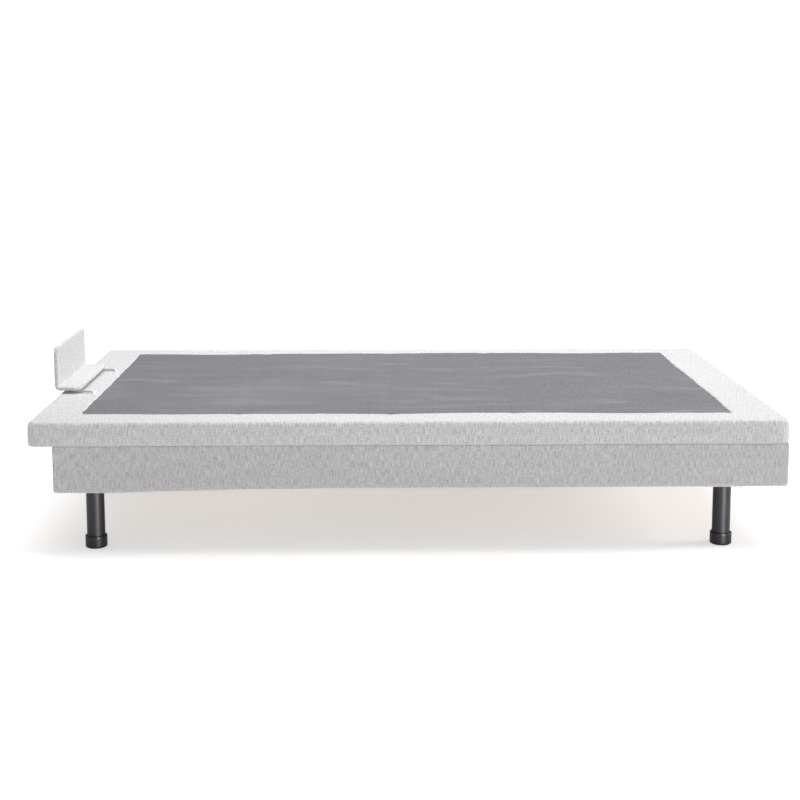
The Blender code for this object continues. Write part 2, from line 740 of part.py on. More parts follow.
def make_control_box():
    length, width, height = CONTROL_SIZE
    right = ACTUATOR_SPREAD - GEARBOX_WIDTH / 2 - CONTROL_TO_GEARBOX
    low = Vector((CROSS_BACK_X - CROSS_WIDTH / 2, right - width, RAIL_TOP - height))
    box = block("control_box", low, low + Vector(CONTROL_SIZE), 0.006, 2)
    gland = cylinder(
        "control_gland",
        (low.x + length + GLAND_LENGTH / 2 - 0.004, right - width / 2, RAIL_TOP - height / 2),
        GLAND_RADIUS,
        GLAND_LENGTH,
        "X",
        12,
        cutters,
    )
    join(box, gland)
    keep(box, GREY_PLASTIC)


# ---- foot support links -------------------------------------------------------------------------------------
def make_link(name, side, parent):
    """Flat bar with a stub pin at each end: outwards into the rail, inwards into the foot section's ear."""
    along = LINK_UPPER - LINK_LOWER
    angle = Vector((along.x, along.z)).angle_signed(Vector((1, 0)))
    ends = (((LINK_LOWER.x, LINK_LOWER.z), angle + pi / 2), ((LINK_UPPER.x, LINK_UPPER.z), angle - pi / 2))
    outline = []
    for centre, start in reversed(ends):
        outline += arc(centre, LINK_HALF_WIDTH, start, start + pi, 8)
    link = plate(name, [outline], LINK_THICKNESS, (0, side * LINK_Y, 0))
    stub = RAIL_CENTRE - RAIL_WIDTH / 2 + RAIL_WALL + 0.003 - LINK_Y
    outer = cylinder(
        f"{name}_rail_pin", (LINK_LOWER.x, side * (LINK_Y + stub / 2), LINK_LOWER.z), LINK_PIN_RADIUS, stub, "Y",
        16, cutters,
    )
    inner_reach = LINK_THICKNESS / 2 + LINK_TO_EAR + EAR_THICKNESS
    inner = cylinder(
        f"{name}_ear_pin", (LINK_UPPER.x, side * (LINK_Y - inner_reach / 2), LINK_UPPER.z), LINK_PIN_RADIUS,
        inner_reach, "Y", 16, cutters,
    )
    join(link, outer)
    join(link, inner)
    return keep(link, ZINC, parent)


def add_ear(tube, side):
    """Weld the ear that the link's pin enters under the foot section's tube."""
    outer_face = LINK_Y - LINK_THICKNESS / 2 - LINK_TO_EAR
    top = TUBE_BOTTOM + RAIL_WALL * 0.6
    radius = EAR_HALF_WIDTH
    outline = [(LINK_UPPER.x + radius, top), (LINK_UPPER.x - radius, top)]
    outline += arc((LINK_UPPER.x, LINK_UPPER.z), radius, pi, 2 * pi, 9)
    hole = arc((LINK_UPPER.x, LINK_UPPER.z), LINK_PIN_RADIUS + LINK_PIN_CLEARANCE, 0, 2 * pi * 15 / 16, 16)
    ear = plate(
        f"{tube.name}_ear", [outline, hole], EAR_THICKNESS, (0, side * (outer_face - EAR_THICKNESS / 2), 0)
    )
    join(tube, ear)


# ---- mattress retainer --------------------------------------------------------------------------------------
def make_retainer(parent):
    half = RETAINER_WIDTH / 2
    top = PLATE_BOTTOM + RETAINER_HEIGHT
    corner = RETAINER_CORNER
    outline = [(-half, PLATE_BOTTOM + 0.0005), (half, PLATE_BOTTOM + 0.0005)]
    outline += arc((half - corner, top - corner), corner, 0, pi / 2, 6)
    outline += arc((corner - half, top - corner), corner, pi / 2, pi, 6)
    upright = plate(
        "retainer_plate", [outline], RETAINER_THICKNESS, (PLATE_OUTER + RETAINER_THICKNESS / 2, 0, 0), "YZ"
    )
    base = block(
        "retainer_base",
        (PLATE_OUTER + 0.0005, -half + 0.0005, PLATE_BOTTOM),
        (PLATE_INNER, half - 0.0005, PLATE_BOTTOM + RETAINER_THICKNESS),
        group=cutters,
    )
    join(upright, base)
    keep(upright, LINEN, parent)

    def bend(centre, first, second):
        """Quarter turn from one direction to another, as points on the wire's centre line."""
        count = 5
        return [
            centre + WIRE_BEND * (first * cos(pi / 2 * i / (count - 1)) + second * sin(pi / 2 * i / (count - 1)))
            for i in range(count)
        ]

    ahead, up, across = Vector((1, 0, 0)), Vector((0, 0, 1)), Vector((0, 1, 0))
    tuck = PLATE_INNER - WIRE_TUCK
    path = [Vector((WIRE_X, -WIRE_Y, BOARD_BOTTOM - WIRE_BELOW_BOARD))]
    path += bend(Vector((WIRE_X - WIRE_BEND, -WIRE_Y, WIRE_HEIGHT - WIRE_BEND)), ahead, up)
    path += bend(Vector((tuck + WIRE_BEND, -WIRE_Y + WIRE_BEND, WIRE_HEIGHT)), -across, -ahead)
    path += [Vector((p.x, -p.y, p.z)) for p in reversed(path)]
    curve = bpy.data.curves.new("retainer_wire", "CURVE")
    curve.dimensions = "3D"
    curve.bevel_depth = WIRE_RADIUS
    curve.bevel_resolution = 2
    curve.use_fill_caps = True
    spline = curve.splines.new("POLY")
    spline.points.add(len(path) - 1)
    for point, place in zip(spline.points, path):
        point.co = (*place, 1)
    wire = bpy.data.objects.new("retainer_wire", curve)
    parts.objects.link(wire)
    keep(wire, ZINC, parent)


def cut_wire_sockets(board, pad):
    for piece, low, high in ((board, BOARD_BOTTOM, BOARD_TOP), (pad, PAD_BOTTOM, DECK_TOP)):
        for side in (-1, 1):
            socket = cylinder(
                f"{piece.name}_socket_{side + 1}",
                (WIRE_X, side * WIRE_Y, (low + high) / 2),
                WIRE_RADIUS + WIRE_CLEARANCE,
                high - low + 0.010,
                "Z",
                14,
                cutters,
            )
            cut(piece, socket)
    half = WIRE_RADIUS + WIRE_CLEARANCE * 0.8
    for side in (-1, 1):
        groove = block(
            f"bend_groove_{side + 1}",
            (WIRE_X - WIRE_BEND, side * WIRE_Y - half, DECK_TOP - WIRE_BEND),
            (WIRE_X, side * WIRE_Y + half, DECK_TOP + 0.005),
            group=cutters,
        )
        cut(pad, groove)


# ---- assembly -----------------------------------------------------------------------------------------------
clear_scene()
parts = new_collection("adjustable_bed_base")
cutters = new_collection("cutters")

BACK_PIN_X = X_BACK - LEVER_ARM * tan(BACK_ANGLE / 2)
LEGS_PIN_X = X_THIGH + LEVER_ARM * tan(THIGH_ANGLE / 2)
BACK_STROKE = 2 * LEVER_ARM * tan(BACK_ANGLE / 2)
LEGS_STROKE = 2 * LEVER_ARM * tan(THIGH_ANGLE / 2)
FORK_BACK_END = FORK_REACH + FORK_WEB + 0.008
CROSS_FOOT_X = BOX_FOOT + WRAP_THICKNESS + SKIRT_THICKNESS + CROSS_TO_SKIRT + CROSS_WIDTH / 2
CROSS_LEGS_X = BACK_PIN_X - FORK_BACK_END - BACK_TUBE_LENGTH - GEARBOX_LENGTH + CROSS_WIDTH / 2
CROSS_BACK_X = LEGS_PIN_X + FORK_BACK_END + LEG_TUBE_LENGTH + GEARBOX_LENGTH - CROSS_WIDTH / 2

back_section = body_empty("back_section", Vector((X_BACK, 0, TOP_PIVOT)))
thigh_section = body_empty("thigh_section", Vector((X_THIGH, 0, TOP_PIVOT)))
foot_section = body_empty("foot_section", Vector((X_KNEE, 0, KNEE_PIVOT)), thigh_section)
foot_links = body_empty("foot_links", LINK_LOWER)
back_rod = body_empty("back_rod", Vector((BACK_PIN_X, -ACTUATOR_SPREAD, ACTUATOR_HEIGHT)))
legs_rod = body_empty("legs_rod", Vector((LEGS_PIN_X, ACTUATOR_SPREAD, ACTUATOR_HEIGHT)))
retainer = body_empty("retainer", Vector((WIRE_X, 0, WIRE_HEIGHT)), foot_section)

for leg_name, (leg_x, leg_y) in leg_places().items():
    make_leg(leg_name, leg_x, leg_y)
make_box()
make_frame()

back_relief = fold_relief(BACK_ANGLE)
thigh_relief = fold_relief(THIGH_ANGLE)
make_section("seat", X_THIGH, X_BACK, thigh_relief, back_relief, None)
make_section("back", X_BACK, X_HEAD, back_relief, 0, back_section, free_high=True)
make_section("thigh", X_KNEE, X_THIGH, 0, thigh_relief, thigh_section)
foot_board, foot_pad = make_section("foot", X_FOOT, X_KNEE, 0, 0, foot_section, free_low=True)
cut_wire_sockets(foot_board, foot_pad)

make_section_tubes("back", X_BACK + SECTION_TUBE_END, INSIDE_HEAD, back_section)
make_section_tubes("thigh", X_KNEE + SECTION_TUBE_END, X_THIGH - SECTION_TUBE_END, thigh_section)
foot_tubes = make_section_tubes("foot", INSIDE_FOOT, X_KNEE - SECTION_TUBE_END, foot_section)
for ear_side, foot_tube in zip((-1, 1), foot_tubes):
    add_ear(foot_tube, ear_side)

make_hinge("back_hinge", X_BACK, TOP_PIVOT, -1, False, None, back_section)
make_hinge("thigh_hinge", X_THIGH, TOP_PIVOT, 1, False, None, thigh_section)
make_hinge("knee_hinge", X_KNEE, KNEE_PIVOT, 1, True, thigh_section, foot_section)

make_lever("back_lever", X_BACK, -ACTUATOR_SPREAD, 1, BACK_ANGLE, back_section)
make_lever("thigh_lever", X_THIGH, ACTUATOR_SPREAD, -1, THIGH_ANGLE, thigh_section)
make_actuator("back", BACK_PIN_X, -ACTUATOR_SPREAD, 1, BACK_TUBE_LENGTH, BACK_STROKE, back_rod)
make_actuator("legs", LEGS_PIN_X, ACTUATOR_SPREAD, -1, LEG_TUBE_LENGTH, LEGS_STROKE, legs_rod)
make_control_box()
make_link("link_left", -1, foot_links)
make_link("link_right", 1, foot_links)
make_retainer(retainer)
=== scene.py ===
import json
from math import cos, pi, radians, sin

import bpy
import numpy as np
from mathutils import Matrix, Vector


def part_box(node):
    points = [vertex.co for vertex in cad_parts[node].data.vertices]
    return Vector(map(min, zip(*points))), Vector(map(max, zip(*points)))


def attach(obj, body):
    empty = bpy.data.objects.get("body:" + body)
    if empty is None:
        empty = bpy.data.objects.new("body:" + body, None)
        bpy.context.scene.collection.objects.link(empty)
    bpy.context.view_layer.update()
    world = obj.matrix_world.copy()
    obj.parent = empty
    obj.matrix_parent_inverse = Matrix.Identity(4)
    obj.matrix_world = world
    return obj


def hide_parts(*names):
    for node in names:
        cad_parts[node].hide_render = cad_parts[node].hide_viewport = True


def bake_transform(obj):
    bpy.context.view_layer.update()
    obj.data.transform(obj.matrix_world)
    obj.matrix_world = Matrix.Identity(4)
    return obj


# Adjustable bed base: folding deck under one linen cover, linen box, round black legs, mattress retainer.
# Metres, +Z up, +X towards the head end, -Y is the near side.

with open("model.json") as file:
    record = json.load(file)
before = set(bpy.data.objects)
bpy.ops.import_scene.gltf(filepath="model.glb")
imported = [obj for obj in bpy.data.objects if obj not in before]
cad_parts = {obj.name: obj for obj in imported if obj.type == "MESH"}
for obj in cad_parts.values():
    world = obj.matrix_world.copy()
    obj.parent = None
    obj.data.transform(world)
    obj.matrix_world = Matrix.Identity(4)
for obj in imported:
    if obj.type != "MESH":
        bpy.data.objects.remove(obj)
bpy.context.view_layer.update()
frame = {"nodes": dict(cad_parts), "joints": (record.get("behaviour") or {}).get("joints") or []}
print("frame loaded:", len(frame["nodes"]), "nodes")


class Value:
    # one output socket; arithmetic on it adds Math nodes to its material
    def __init__(self, shader, socket):
        self.shader, self.socket = shader, socket

    def math(self, operation, *others):
        return self.shader.add("ShaderNodeMath", {"operation": operation}, dict(enumerate((self, *others))))

    def __add__(self, other):
        return self.math("ADD", other)

    def __mul__(self, other):
        return self.math("MULTIPLY", other)

    def __sub__(self, other):
        return self.math("SUBTRACT", other)

    def __rsub__(self, other):
        return self.shader.add("ShaderNodeMath", {"operation": "SUBTRACT"}, {0: other, 1: self})

    def __pow__(self, other):
        return self.math("POWER", other)

    __radd__ = __add__
    __rmul__ = __mul__

    def smooth(self, low, high, start=0.0, end=1.0):
        # start below low, end above high, an S curve between
        return self.shader.add("ShaderNodeMapRange", {"interpolation_type": "SMOOTHSTEP"},
                               {"Value": self, "From Min": low, "From Max": high, "To Min": start, "To Max": end})


class Shader:
    def __init__(self, name, world=False):
        self.material = (bpy.data.worlds if world else bpy.data.materials).new(name)
        self.material.use_nodes = True
        self.tree = self.material.node_tree
        self.surface = self.tree.nodes["Background" if world else "Principled BSDF"]

    def add(self, kind, settings=None, inputs=None, out=0):
        # any node: its settings first, then the values or links of its sockets
        node = self.tree.nodes.new(kind)
        for key, value in (settings or {}).items():
            setattr(node, key, value)
        self.fill(node, inputs or {})
        return Value(self, node.outputs[out])

    def fill(self, node, inputs):
        for key, value in inputs.items():
            if isinstance(value, Value):
                self.tree.links.new(value.socket, node.inputs[key])
            else:
                if isinstance(value, tuple) and len(value) == 3 and node.inputs[key].type == "RGBA":
                    value = (*value, 1.0)
                node.inputs[key].default_value = value

    def objectPoint(self):
        return self.add("ShaderNodeTexCoord", out="Object")

    def clothPoint(self):
        return self.add("ShaderNodeUVMap", {"uv_map": "cloth"})

    def stretched(self, vector, scale, shift=(0.0, 0.0, 0.0)):
        return self.add("ShaderNodeMapping", {}, {"Vector": vector, "Scale": scale, "Location": shift})

    def noise(self, vector, scale, detail=2.0, roughness=0.5):
        return self.add("ShaderNodeTexNoise", {},
                        {"Vector": vector, "Scale": scale, "Detail": detail, "Roughness": roughness})

    def mix(self, factor, first, second, blend="MIX"):
        # colours: 6 and 7 are the Mix node's colour sockets, 2 its colour result
        return self.add("ShaderNodeMix", {"data_type": "RGBA", "blend_type": blend},
                        {0: factor, 6: first, 7: second}, out=2)

    def bump(self, height, distance, strength):
        return self.add("ShaderNodeBump", {}, {"Height": height, "Distance": distance, "Strength": strength})

    def finish(self, **inputs):
        # keyword baseColour feeds "Base Color", sheen feeds "Sheen Weight", and so on
        names = {"baseColour": "Base Color", "roughness": "Roughness", "metallic": "Metallic", "normal": "Normal",
                 "sheen": "Sheen Weight", "sheenRoughness": "Sheen Roughness", "specular": "Specular IOR Level",
                 "glowColour": "Emission Color", "glowStrength": "Emission Strength",
                 "sky": "Color", "strength": "Strength"}
        self.fill(self.surface, {names[key]: value for key, value in inputs.items()})
        return self.material


linen = {
    "light": (0.935, 0.928, 0.933),
    "dark": (0.525, 0.511, 0.521),
    "warm": (0.86, 0.785, 0.765),
    "cool": (0.72, 0.745, 0.81),
    "threads": 860.0,      # threads to the metre
    "slubLength": 0.022, "weftLength": 0.013,   # how long a thick place runs, up and across
    "slubs": 430.0,        # slubs to the metre
    "threadShare": 0.28, "slubShare": 0.46, "weftShare": 0.26,   # how much each says in a spot's shade
    "tintScale": (70.0, 42.0, 1.0), "warmth": 0.44, "coolness": 0.36,
    "blotches": 4.5, "blotchDepth": 0.10,
    "roughness": 0.84, "sheen": 0.25, "sheenRoughness": 0.6, "specular": 0.2,
    "relief": 0.0009, "reliefStrength": 0.55,
}


def makeLinen(name, paintedShadeFactor=1.0):
    # plain weave: each thread its own shade, over and under by turns, with thick slubs both ways
    shader = Shader(name)
    point = shader.clothPoint()
    pitch, slubs = linen["threads"], linen["slubs"]
    longWays, shortWays = 1 / linen["slubLength"], 1 / linen["weftLength"]
    axes = shader.add("ShaderNodeSeparateXYZ", {}, {0: point})
    u, v = axes * 1.0, Value(shader, axes.socket.node.outputs[1])
    column, row = (u * pitch).math("FLOOR"), (v * pitch).math("FLOOR")
    over = (column + row).math("PINGPONG", 1.0)
    warpPlace = shader.add("ShaderNodeCombineXYZ", {}, {0: column * 3.71, 1: v * (longWays * 1.4)})
    weftPlace = shader.add("ShaderNodeCombineXYZ", {}, {0: u * (shortWays * 1.4), 1: row * 3.71, 2: 5.0})
    warp, weft = shader.noise(warpPlace, 1.0, 1.0, 0.5), shader.noise(weftPlace, 1.0, 1.0, 0.5)
    thread = over * warp + (1 - over) * weft
    slubUp = shader.noise(shader.stretched(point, (slubs, longWays, 1.0), (3.1, 5.7, 0.0)), 1.0, 3.0, 0.62)
    slubAcross = shader.noise(shader.stretched(point, (shortWays, slubs, 1.0), (1.7, 8.8, 0.0)), 1.0, 3.0, 0.62)
    shade = (thread.smooth(0.22, 0.78) * linen["threadShare"] + slubUp.smooth(0.32, 0.70) * linen["slubShare"]
             + slubAcross.smooth(0.32, 0.70) * linen["weftShare"])
    colour = shader.mix(shade.smooth(0.14, 0.84), linen["dark"], linen["light"])
    tint = shader.noise(shader.stretched(point, linen["tintScale"]), 1.0, 3.0, 0.6)
    colour = shader.mix(tint.smooth(0.50, 0.76) * linen["warmth"], colour, linen["warm"])
    colour = shader.mix(tint.smooth(0.50, 0.28) * linen["coolness"], colour, linen["cool"])
    blotch = shader.noise(point, linen["blotches"], 3.0, 0.6)
    colour = shader.mix(blotch.smooth(0.40, 0.75) * linen["blotchDepth"], colour, linen["dark"])
    # a factor below one darkens the whole cloth: painted shade, a darker copy of this linen
    if paintedShadeFactor != 1.0:
        colour = shader.mix(1.0, colour, (paintedShadeFactor,) * 3, "MULTIPLY")
    crown = over * (u * (pitch * pi)).math("SINE").math("ABSOLUTE")
    crown = crown + (1 - over) * (v * (pitch * pi)).math("SINE").math("ABSOLUTE")
    height = crown * 0.45 + slubUp * 0.60 + slubAcross * 0.45
    return shader.finish(baseColour=colour, roughness=linen["roughness"] + shade * 0.10, sheen=linen["sheen"],
                         sheenRoughness=linen["sheenRoughness"], specular=linen["specular"],
                         normal=shader.bump(height, linen["relief"], linen["reliefStrength"]))


nonWoven = {
    "colour": (0.226, 0.224, 0.238),
    # dust patches, and the painted highlight on the crease ridges
    "dust": (0.275, 0.272, 0.285),
    # dark fibre tone, and the painted shade in the crease hollows
    "deep": (0.150, 0.148, 0.162),
    "dimples": 420.0,     # to the metre
    "fibres": (150.0, 210.0, 60.0), "creases": (3.4, 17.0, 8.0), "patches": (1.6, 3.4, 2.0), "drift": 0.16,
    "roughness": 0.74, "specular": 0.35, "relief": 0.0016, "reliefStrength": 0.6,
}


def makeNonWoven(name):
    # grey spun-bond sheet: pressed dimples, faint lengthwise creases with painted highlight on their ridges and
    # painted shade in their hollows, and patches of dust
    shader = Shader(name)
    point = shader.objectPoint()
    fibres = shader.noise(shader.stretched(point, nonWoven["fibres"]), 1.0, 4.0, 0.7)
    drift = shader.noise(point, 2.6, 2.0, 0.5)
    bent = shader.add("ShaderNodeVectorMath", {"operation": "ADD"}, {0: point, 1: drift * nonWoven["drift"]})
    creases = shader.noise(shader.stretched(bent, nonWoven["creases"]), 1.0, 5.0, 0.6)
    patches = shader.noise(shader.stretched(point, nonWoven["patches"], (4.0, 1.0, 0.0)), 1.0, 3.0, 0.5)
    dimples = shader.add("ShaderNodeTexVoronoi", {"feature": "F1"},
                         {"Vector": point, "Scale": nonWoven["dimples"], "Randomness": 0.3})
    colour = shader.mix(fibres.smooth(0.40, 0.60), nonWoven["deep"], nonWoven["colour"])
    # painted highlight: the crease ridges are painted paler in the dust colour
    colour = shader.mix(creases.smooth(0.52, 0.74) * 0.65, colour, nonWoven["dust"])
    # painted shade: the crease hollows are painted darker
    colour = shader.mix(creases.smooth(0.46, 0.26) * 0.55, colour, nonWoven["deep"])
    colour = shader.mix(patches.smooth(0.50, 0.74) * 0.35, colour, nonWoven["dust"])
    height = creases * 1.4 + fibres * 0.10 + dimples.smooth(0.0, 0.7) * 0.10
    roughness = nonWoven["roughness"] + fibres * 0.14 - creases.smooth(0.5, 0.8) * 0.1
    return shader.finish(baseColour=colour, roughness=roughness, specular=nonWoven["specular"],
                         normal=shader.bump(height, nonWoven["relief"], nonWoven["reliefStrength"]))


powderCoat = {
    "peel": 900.0, "clouds": 26.0, "scuffs": (60.0, 60.0, 240.0),   # to the metre
    "cloudDepth": 0.35, "scuffDepth": 0.30, "relief": 0.00022, "reliefStrength": 0.35, "specular": 0.5,
}


def makePaintedSteel(name, colour, roughness, worn=(0.22, 0.22, 0.24)):
    # powder coat: orange peel, a little cloudy gloss, scuffs where the coat is rubbed
    shader = Shader(name)
    point = shader.objectPoint()
    peel = shader.noise(point, powderCoat["peel"], 2.0, 0.5)
    cloud = shader.noise(point, powderCoat["clouds"], 3.0, 0.6)
    scuffs = shader.noise(shader.stretched(point, powderCoat["scuffs"]), 1.0, 5.0, 0.7)
    rubbed = scuffs.smooth(0.66, 0.80)
    paler = tuple(c * 1.5 + 0.004 for c in colour)
    base = shader.mix(cloud.smooth(0.3, 0.7) * powderCoat["cloudDepth"], colour, paler)
    base = shader.mix(rubbed * powderCoat["scuffDepth"], base, worn)
    return shader.finish(baseColour=base, roughness=roughness + cloud * 0.14 + rubbed * 0.15,
                         normal=shader.bump(peel + scuffs * 0.4, powderCoat["relief"], powderCoat["reliefStrength"]),
                         specular=powderCoat["specular"])


zinc = {
    "dull": (0.56, 0.57, 0.59), "bright": (0.77, 0.78, 0.80),
    "lines": (40.0, 1200.0, 1200.0), "spangles": 150.0, "roughness": 0.26, "relief": 0.00012,
}


def makeZinc(name):
    # zinc plate: drawn lines along the part, small spangled patches, duller at the scratches
    shader = Shader(name)
    point = shader.objectPoint()
    lines = shader.noise(shader.stretched(point, zinc["lines"]), 1.0, 3.0, 0.5)
    spangle = shader.add("ShaderNodeTexVoronoi", {"feature": "F1"}, {"Vector": point, "Scale": zinc["spangles"]},
                         out="Color")
    grey = shader.add("ShaderNodeRGBToBW", {}, {0: spangle})
    colour = shader.mix(grey * 0.6 + lines * 0.3, zinc["dull"], zinc["bright"])
    return shader.finish(baseColour=colour, roughness=zinc["roughness"] + grey * 0.12 + lines * 0.12, metallic=1.0,
                         normal=shader.bump(lines, zinc["relief"], 0.5))


birch = {
    "pale": (0.60, 0.43, 0.26), "band": (0.46, 0.31, 0.175), "pore": (0.30, 0.19, 0.10), "glue": (0.27, 0.17, 0.09),
    "ply": 0.0036,          # thickness of two plies
    "growth": (1.4, 5.5, 3.0), "bands": 34.0, "pores": (26.0, 900.0, 300.0), "relief": 0.0003,
}


def makePlywood(name):
    # rotary-cut birch: long cathedral bands across the sheet, fine pores, and ply lines on the edges
    shader = Shader(name)
    point = shader.objectPoint()
    warped = shader.noise(shader.stretched(point, birch["growth"]), 1.0, 3.0, 0.6)
    bands = ((warped * birch["bands"]).math("SINE") * 0.5 + 0.5) ** 1.6
    pores = shader.noise(shader.stretched(point, birch["pores"]), 1.0, 3.0, 0.6)
    height = shader.add("ShaderNodeSeparateXYZ", {}, {0: point}, out=2)
    plies = ((height * (2 * pi / birch["ply"])).math("SINE") * 0.5 + 0.5).smooth(0.25, 0.75)
    facing = shader.add("ShaderNodeSeparateXYZ", {}, {0: shader.add("ShaderNodeNewGeometry", out="Normal")}, out=2)
    onEdge = 1 - facing.math("ABSOLUTE").smooth(0.3, 0.7)
    colour = shader.mix(bands * 0.55, birch["pale"], birch["band"])
    colour = shader.mix(pores.smooth(0.56, 0.74) * 0.5, colour, birch["pore"])
    colour = shader.mix(onEdge * plies * 0.75, colour, birch["glue"])
    return shader.finish(baseColour=colour, roughness=0.62 + pores * 0.2, specular=0.3,
                         normal=shader.bump(pores + bands * 0.3, birch["relief"], 0.4))


plastic = {"dust": (0.20, 0.19, 0.18), "dustDepth": 0.25, "clouds": 34.0, "relief": 0.00012}


def makePlastic(name, colour, roughness, grain=1500.0):
    # moulded plastic: fine spark texture, dust on the upward faces, gloss where it has been handled
    shader = Shader(name)
    point = shader.objectPoint()
    spark = shader.add("ShaderNodeTexVoronoi", {"feature": "F1"}, {"Vector": point, "Scale": grain})
    cloud = shader.noise(point, plastic["clouds"], 4.0, 0.6)
    up = shader.add("ShaderNodeSeparateXYZ", {}, {0: shader.add("ShaderNodeNewGeometry", out="Normal")}, out=2)
    dust = up.smooth(0.3, 1.0) * cloud.smooth(0.3, 0.7)
    paler = tuple(c * 1.7 + 0.003 for c in colour)
    base = shader.mix(cloud.smooth(0.3, 0.75) * 0.4, colour, paler)
    base = shader.mix(dust * plastic["dustDepth"], base, plastic["dust"])
    return shader.finish(baseColour=base, roughness=roughness + cloud * 0.16 - spark * 0.05,
                         normal=shader.bump(spark, plastic["relief"], 0.5))


def makeFloor(name, colour, glow, glowSeen, near, far):
    # Smooth matt studio floor with the faintest mottling. It glows, faintly here and to white in the distance,
    # and looks brighter than the light it gives the object, which keeps the shadow pale.
    shader = Shader(name)
    point = shader.objectPoint()
    mottle = shader.noise(point, 1.2, 2.0, 0.5)
    dimmer = tuple(c * 0.985 for c in colour)
    away = shader.add("ShaderNodeVectorMath", {"operation": "LENGTH"}, {0: point}, out="Value")
    seen = shader.add("ShaderNodeLightPath", out="Is Camera Ray")
    here = shader.mix(seen, (glow,) * 3, (glowSeen,) * 3)
    shine = shader.mix(away.smooth(near, far), here, (1.0, 1.0, 1.0))
    return shader.finish(baseColour=shader.mix(mottle, colour, dimmer), roughness=0.9, specular=0.1,
                         glowColour=shine, glowStrength=1.0)


looks = {
    "linen": makeLinen("linen_cloth"),
    # the box's linen is the same cloth darkened to 0.87: painted shade on the box's sides
    "boxLinen": makeLinen("linen_box_cloth", 0.87),
    "sheet": makeNonWoven("grey_spunbond"),
    "blackSteel": makePaintedSteel("black_powder_coat", (0.018, 0.0175, 0.023), 0.36),
    "greySteel": makePaintedSteel("grey_powder_coat", (0.155, 0.157, 0.165), 0.42, (0.36, 0.36, 0.38)),
    "zinc": makeZinc("zinc_plate"),
    "plywood": makePlywood("birch_ply"),
    "blackPlastic": makePlastic("black_cap_plastic", (0.014, 0.014, 0.018), 0.27),
    "greyPlastic": makePlastic("grey_case_plastic", (0.085, 0.086, 0.092), 0.52, 1100.0),
}
print("materials made:", len(looks))


# a long lens from the near side, a little above the deck
view = {"place": (-0.0904, -4.274, 1.1368), "yaw": 1.0635, "pitch": 7.984, "lens": 64.80, "shift": -0.1,
        "sensor": 36.0, "reach": 60.0}

camera = bpy.data.objects.new("camera", bpy.data.cameras.new("camera"))
bpy.context.scene.collection.objects.link(camera)
camera.location = view["place"]
camera.rotation_euler = (radians(90 - view["pitch"]), 0.0, radians(-view["yaw"]))
camera.data.lens, camera.data.sensor_width, camera.data.shift_y = view["lens"], view["sensor"], view["shift"]
camera.data.clip_end = view["reach"]
bpy.context.scene.camera = camera

studio = {
    "floor": (0.90, 0.90, 0.905),
    "floorReach": 26.0,
    "glow": 0.20, "glowSeen": 0.54, "glowFrom": 2.4, "glowTo": 6.5,   # the floor shines, white far away
    "sky": (1.0, 1.0, 1.0), "skyLight": 0.30, "skySeen": 1.02,
    # name: place, aim, width, height, watts, colour
    "lamps": {
        "overhead": ((0.3, 0.4, 3.4), (0.05, 0.0, 0.3), 4.2, 3.2, 137.0, (1.0, 1.0, 1.0)),
        "right": ((6.5, 0.0, 2.4), (0.0, 0.0, 0.30), 2.2, 2.2, 160.0, (1.0, 0.995, 0.99)),
        "front": ((2.3, -5.2, 1.5), (0.1, 0.0, 0.25), 1.1, 1.9, 7.0, (1.0, 1.0, 1.0)),
        "leftStrip": ((-3.0, -2.2, 1.0), (-0.8, 0.0, 0.2), 0.4, 1.6, 1.5, (0.96, 0.98, 1.0)),
        "gleam": ((2.3, -5.2, 0.45), (0.1, -0.5, 0.1), 0.5, 0.7, 420.0, (1.0, 1.0, 1.0)),
    },
    "glossOnly": ("gleam",),    # stands low, and only draws the bright line down each round leg
}


def layFloor():
    # a level square: x and y run over the grid, z is zero
    reach = studio["floorReach"]
    line = np.linspace(-reach, reach, 9)
    x, y = np.meshgrid(line, line, indexing="ij")
    points = np.stack([x, y, np.zeros_like(x)], -1).reshape(-1, 3)
    look = makeFloor("pale_floor", studio["floor"], studio["glow"], studio["glowSeen"], studio["glowFrom"],
                     studio["glowTo"])
    floor = makeMesh("studio_floor", points, gridFaces(9, 9), [look])


def hangLamps():
    for name, (place, aim, width, height, watts, colour) in studio["lamps"].items():
        data = bpy.data.lights.new(name, "AREA")
        data.shape, data.size, data.size_y, data.energy, data.color = "RECTANGLE", width, height, watts, colour
        lamp = bpy.data.objects.new(name, data)
        lamp.location = place
        lamp.rotation_euler = (Vector(aim) - Vector(place)).to_track_quat("-Z", "Y").to_euler()
        lamp.visible_diffuse = name not in studio["glossOnly"]
        bpy.context.scene.collection.objects.link(lamp)
    # the backdrop looks white, and lights the object less than it looks
    world = Shader("studio_white", world=True)
    seen = world.add("ShaderNodeLightPath", out="Is Camera Ray")
    low, high = studio["skyLight"], studio["skySeen"]
    bpy.context.scene.world = world.finish(sky=studio["sky"], strength=seen * (high - low) + low)
    bpy.context.scene.view_settings.view_transform = "Standard"


def makeMesh(name, points, faces, materials, faceLook=None, uv=None, sharp=45.0):
    # points: N x 3, faces: list of index rows, uv: one pair for each point
    mesh = bpy.data.meshes.new(name)
    mesh.from_pydata(np.asarray(points, float).tolist(), [], [list(map(int, row)) for row in faces])
    for material in materials:
        mesh.materials.append(material)
    if faceLook is not None:
        mesh.polygons.foreach_set("material_index", np.asarray(faceLook, np.int32))
    if uv is not None:
        corners = np.empty(len(mesh.loops), np.int32)
        mesh.loops.foreach_get("vertex_index", corners)
        layer = mesh.uv_layers.new(name="cloth")
        layer.data.foreach_set("uv", np.asarray(uv, np.float32)[corners].ravel())
    mesh.shade_smooth()
    mesh.set_sharp_from_angle(angle=radians(sharp))
    mesh.update()
    piece = bpy.data.objects.new(name, mesh)
    bpy.context.scene.collection.objects.link(piece)
    return piece


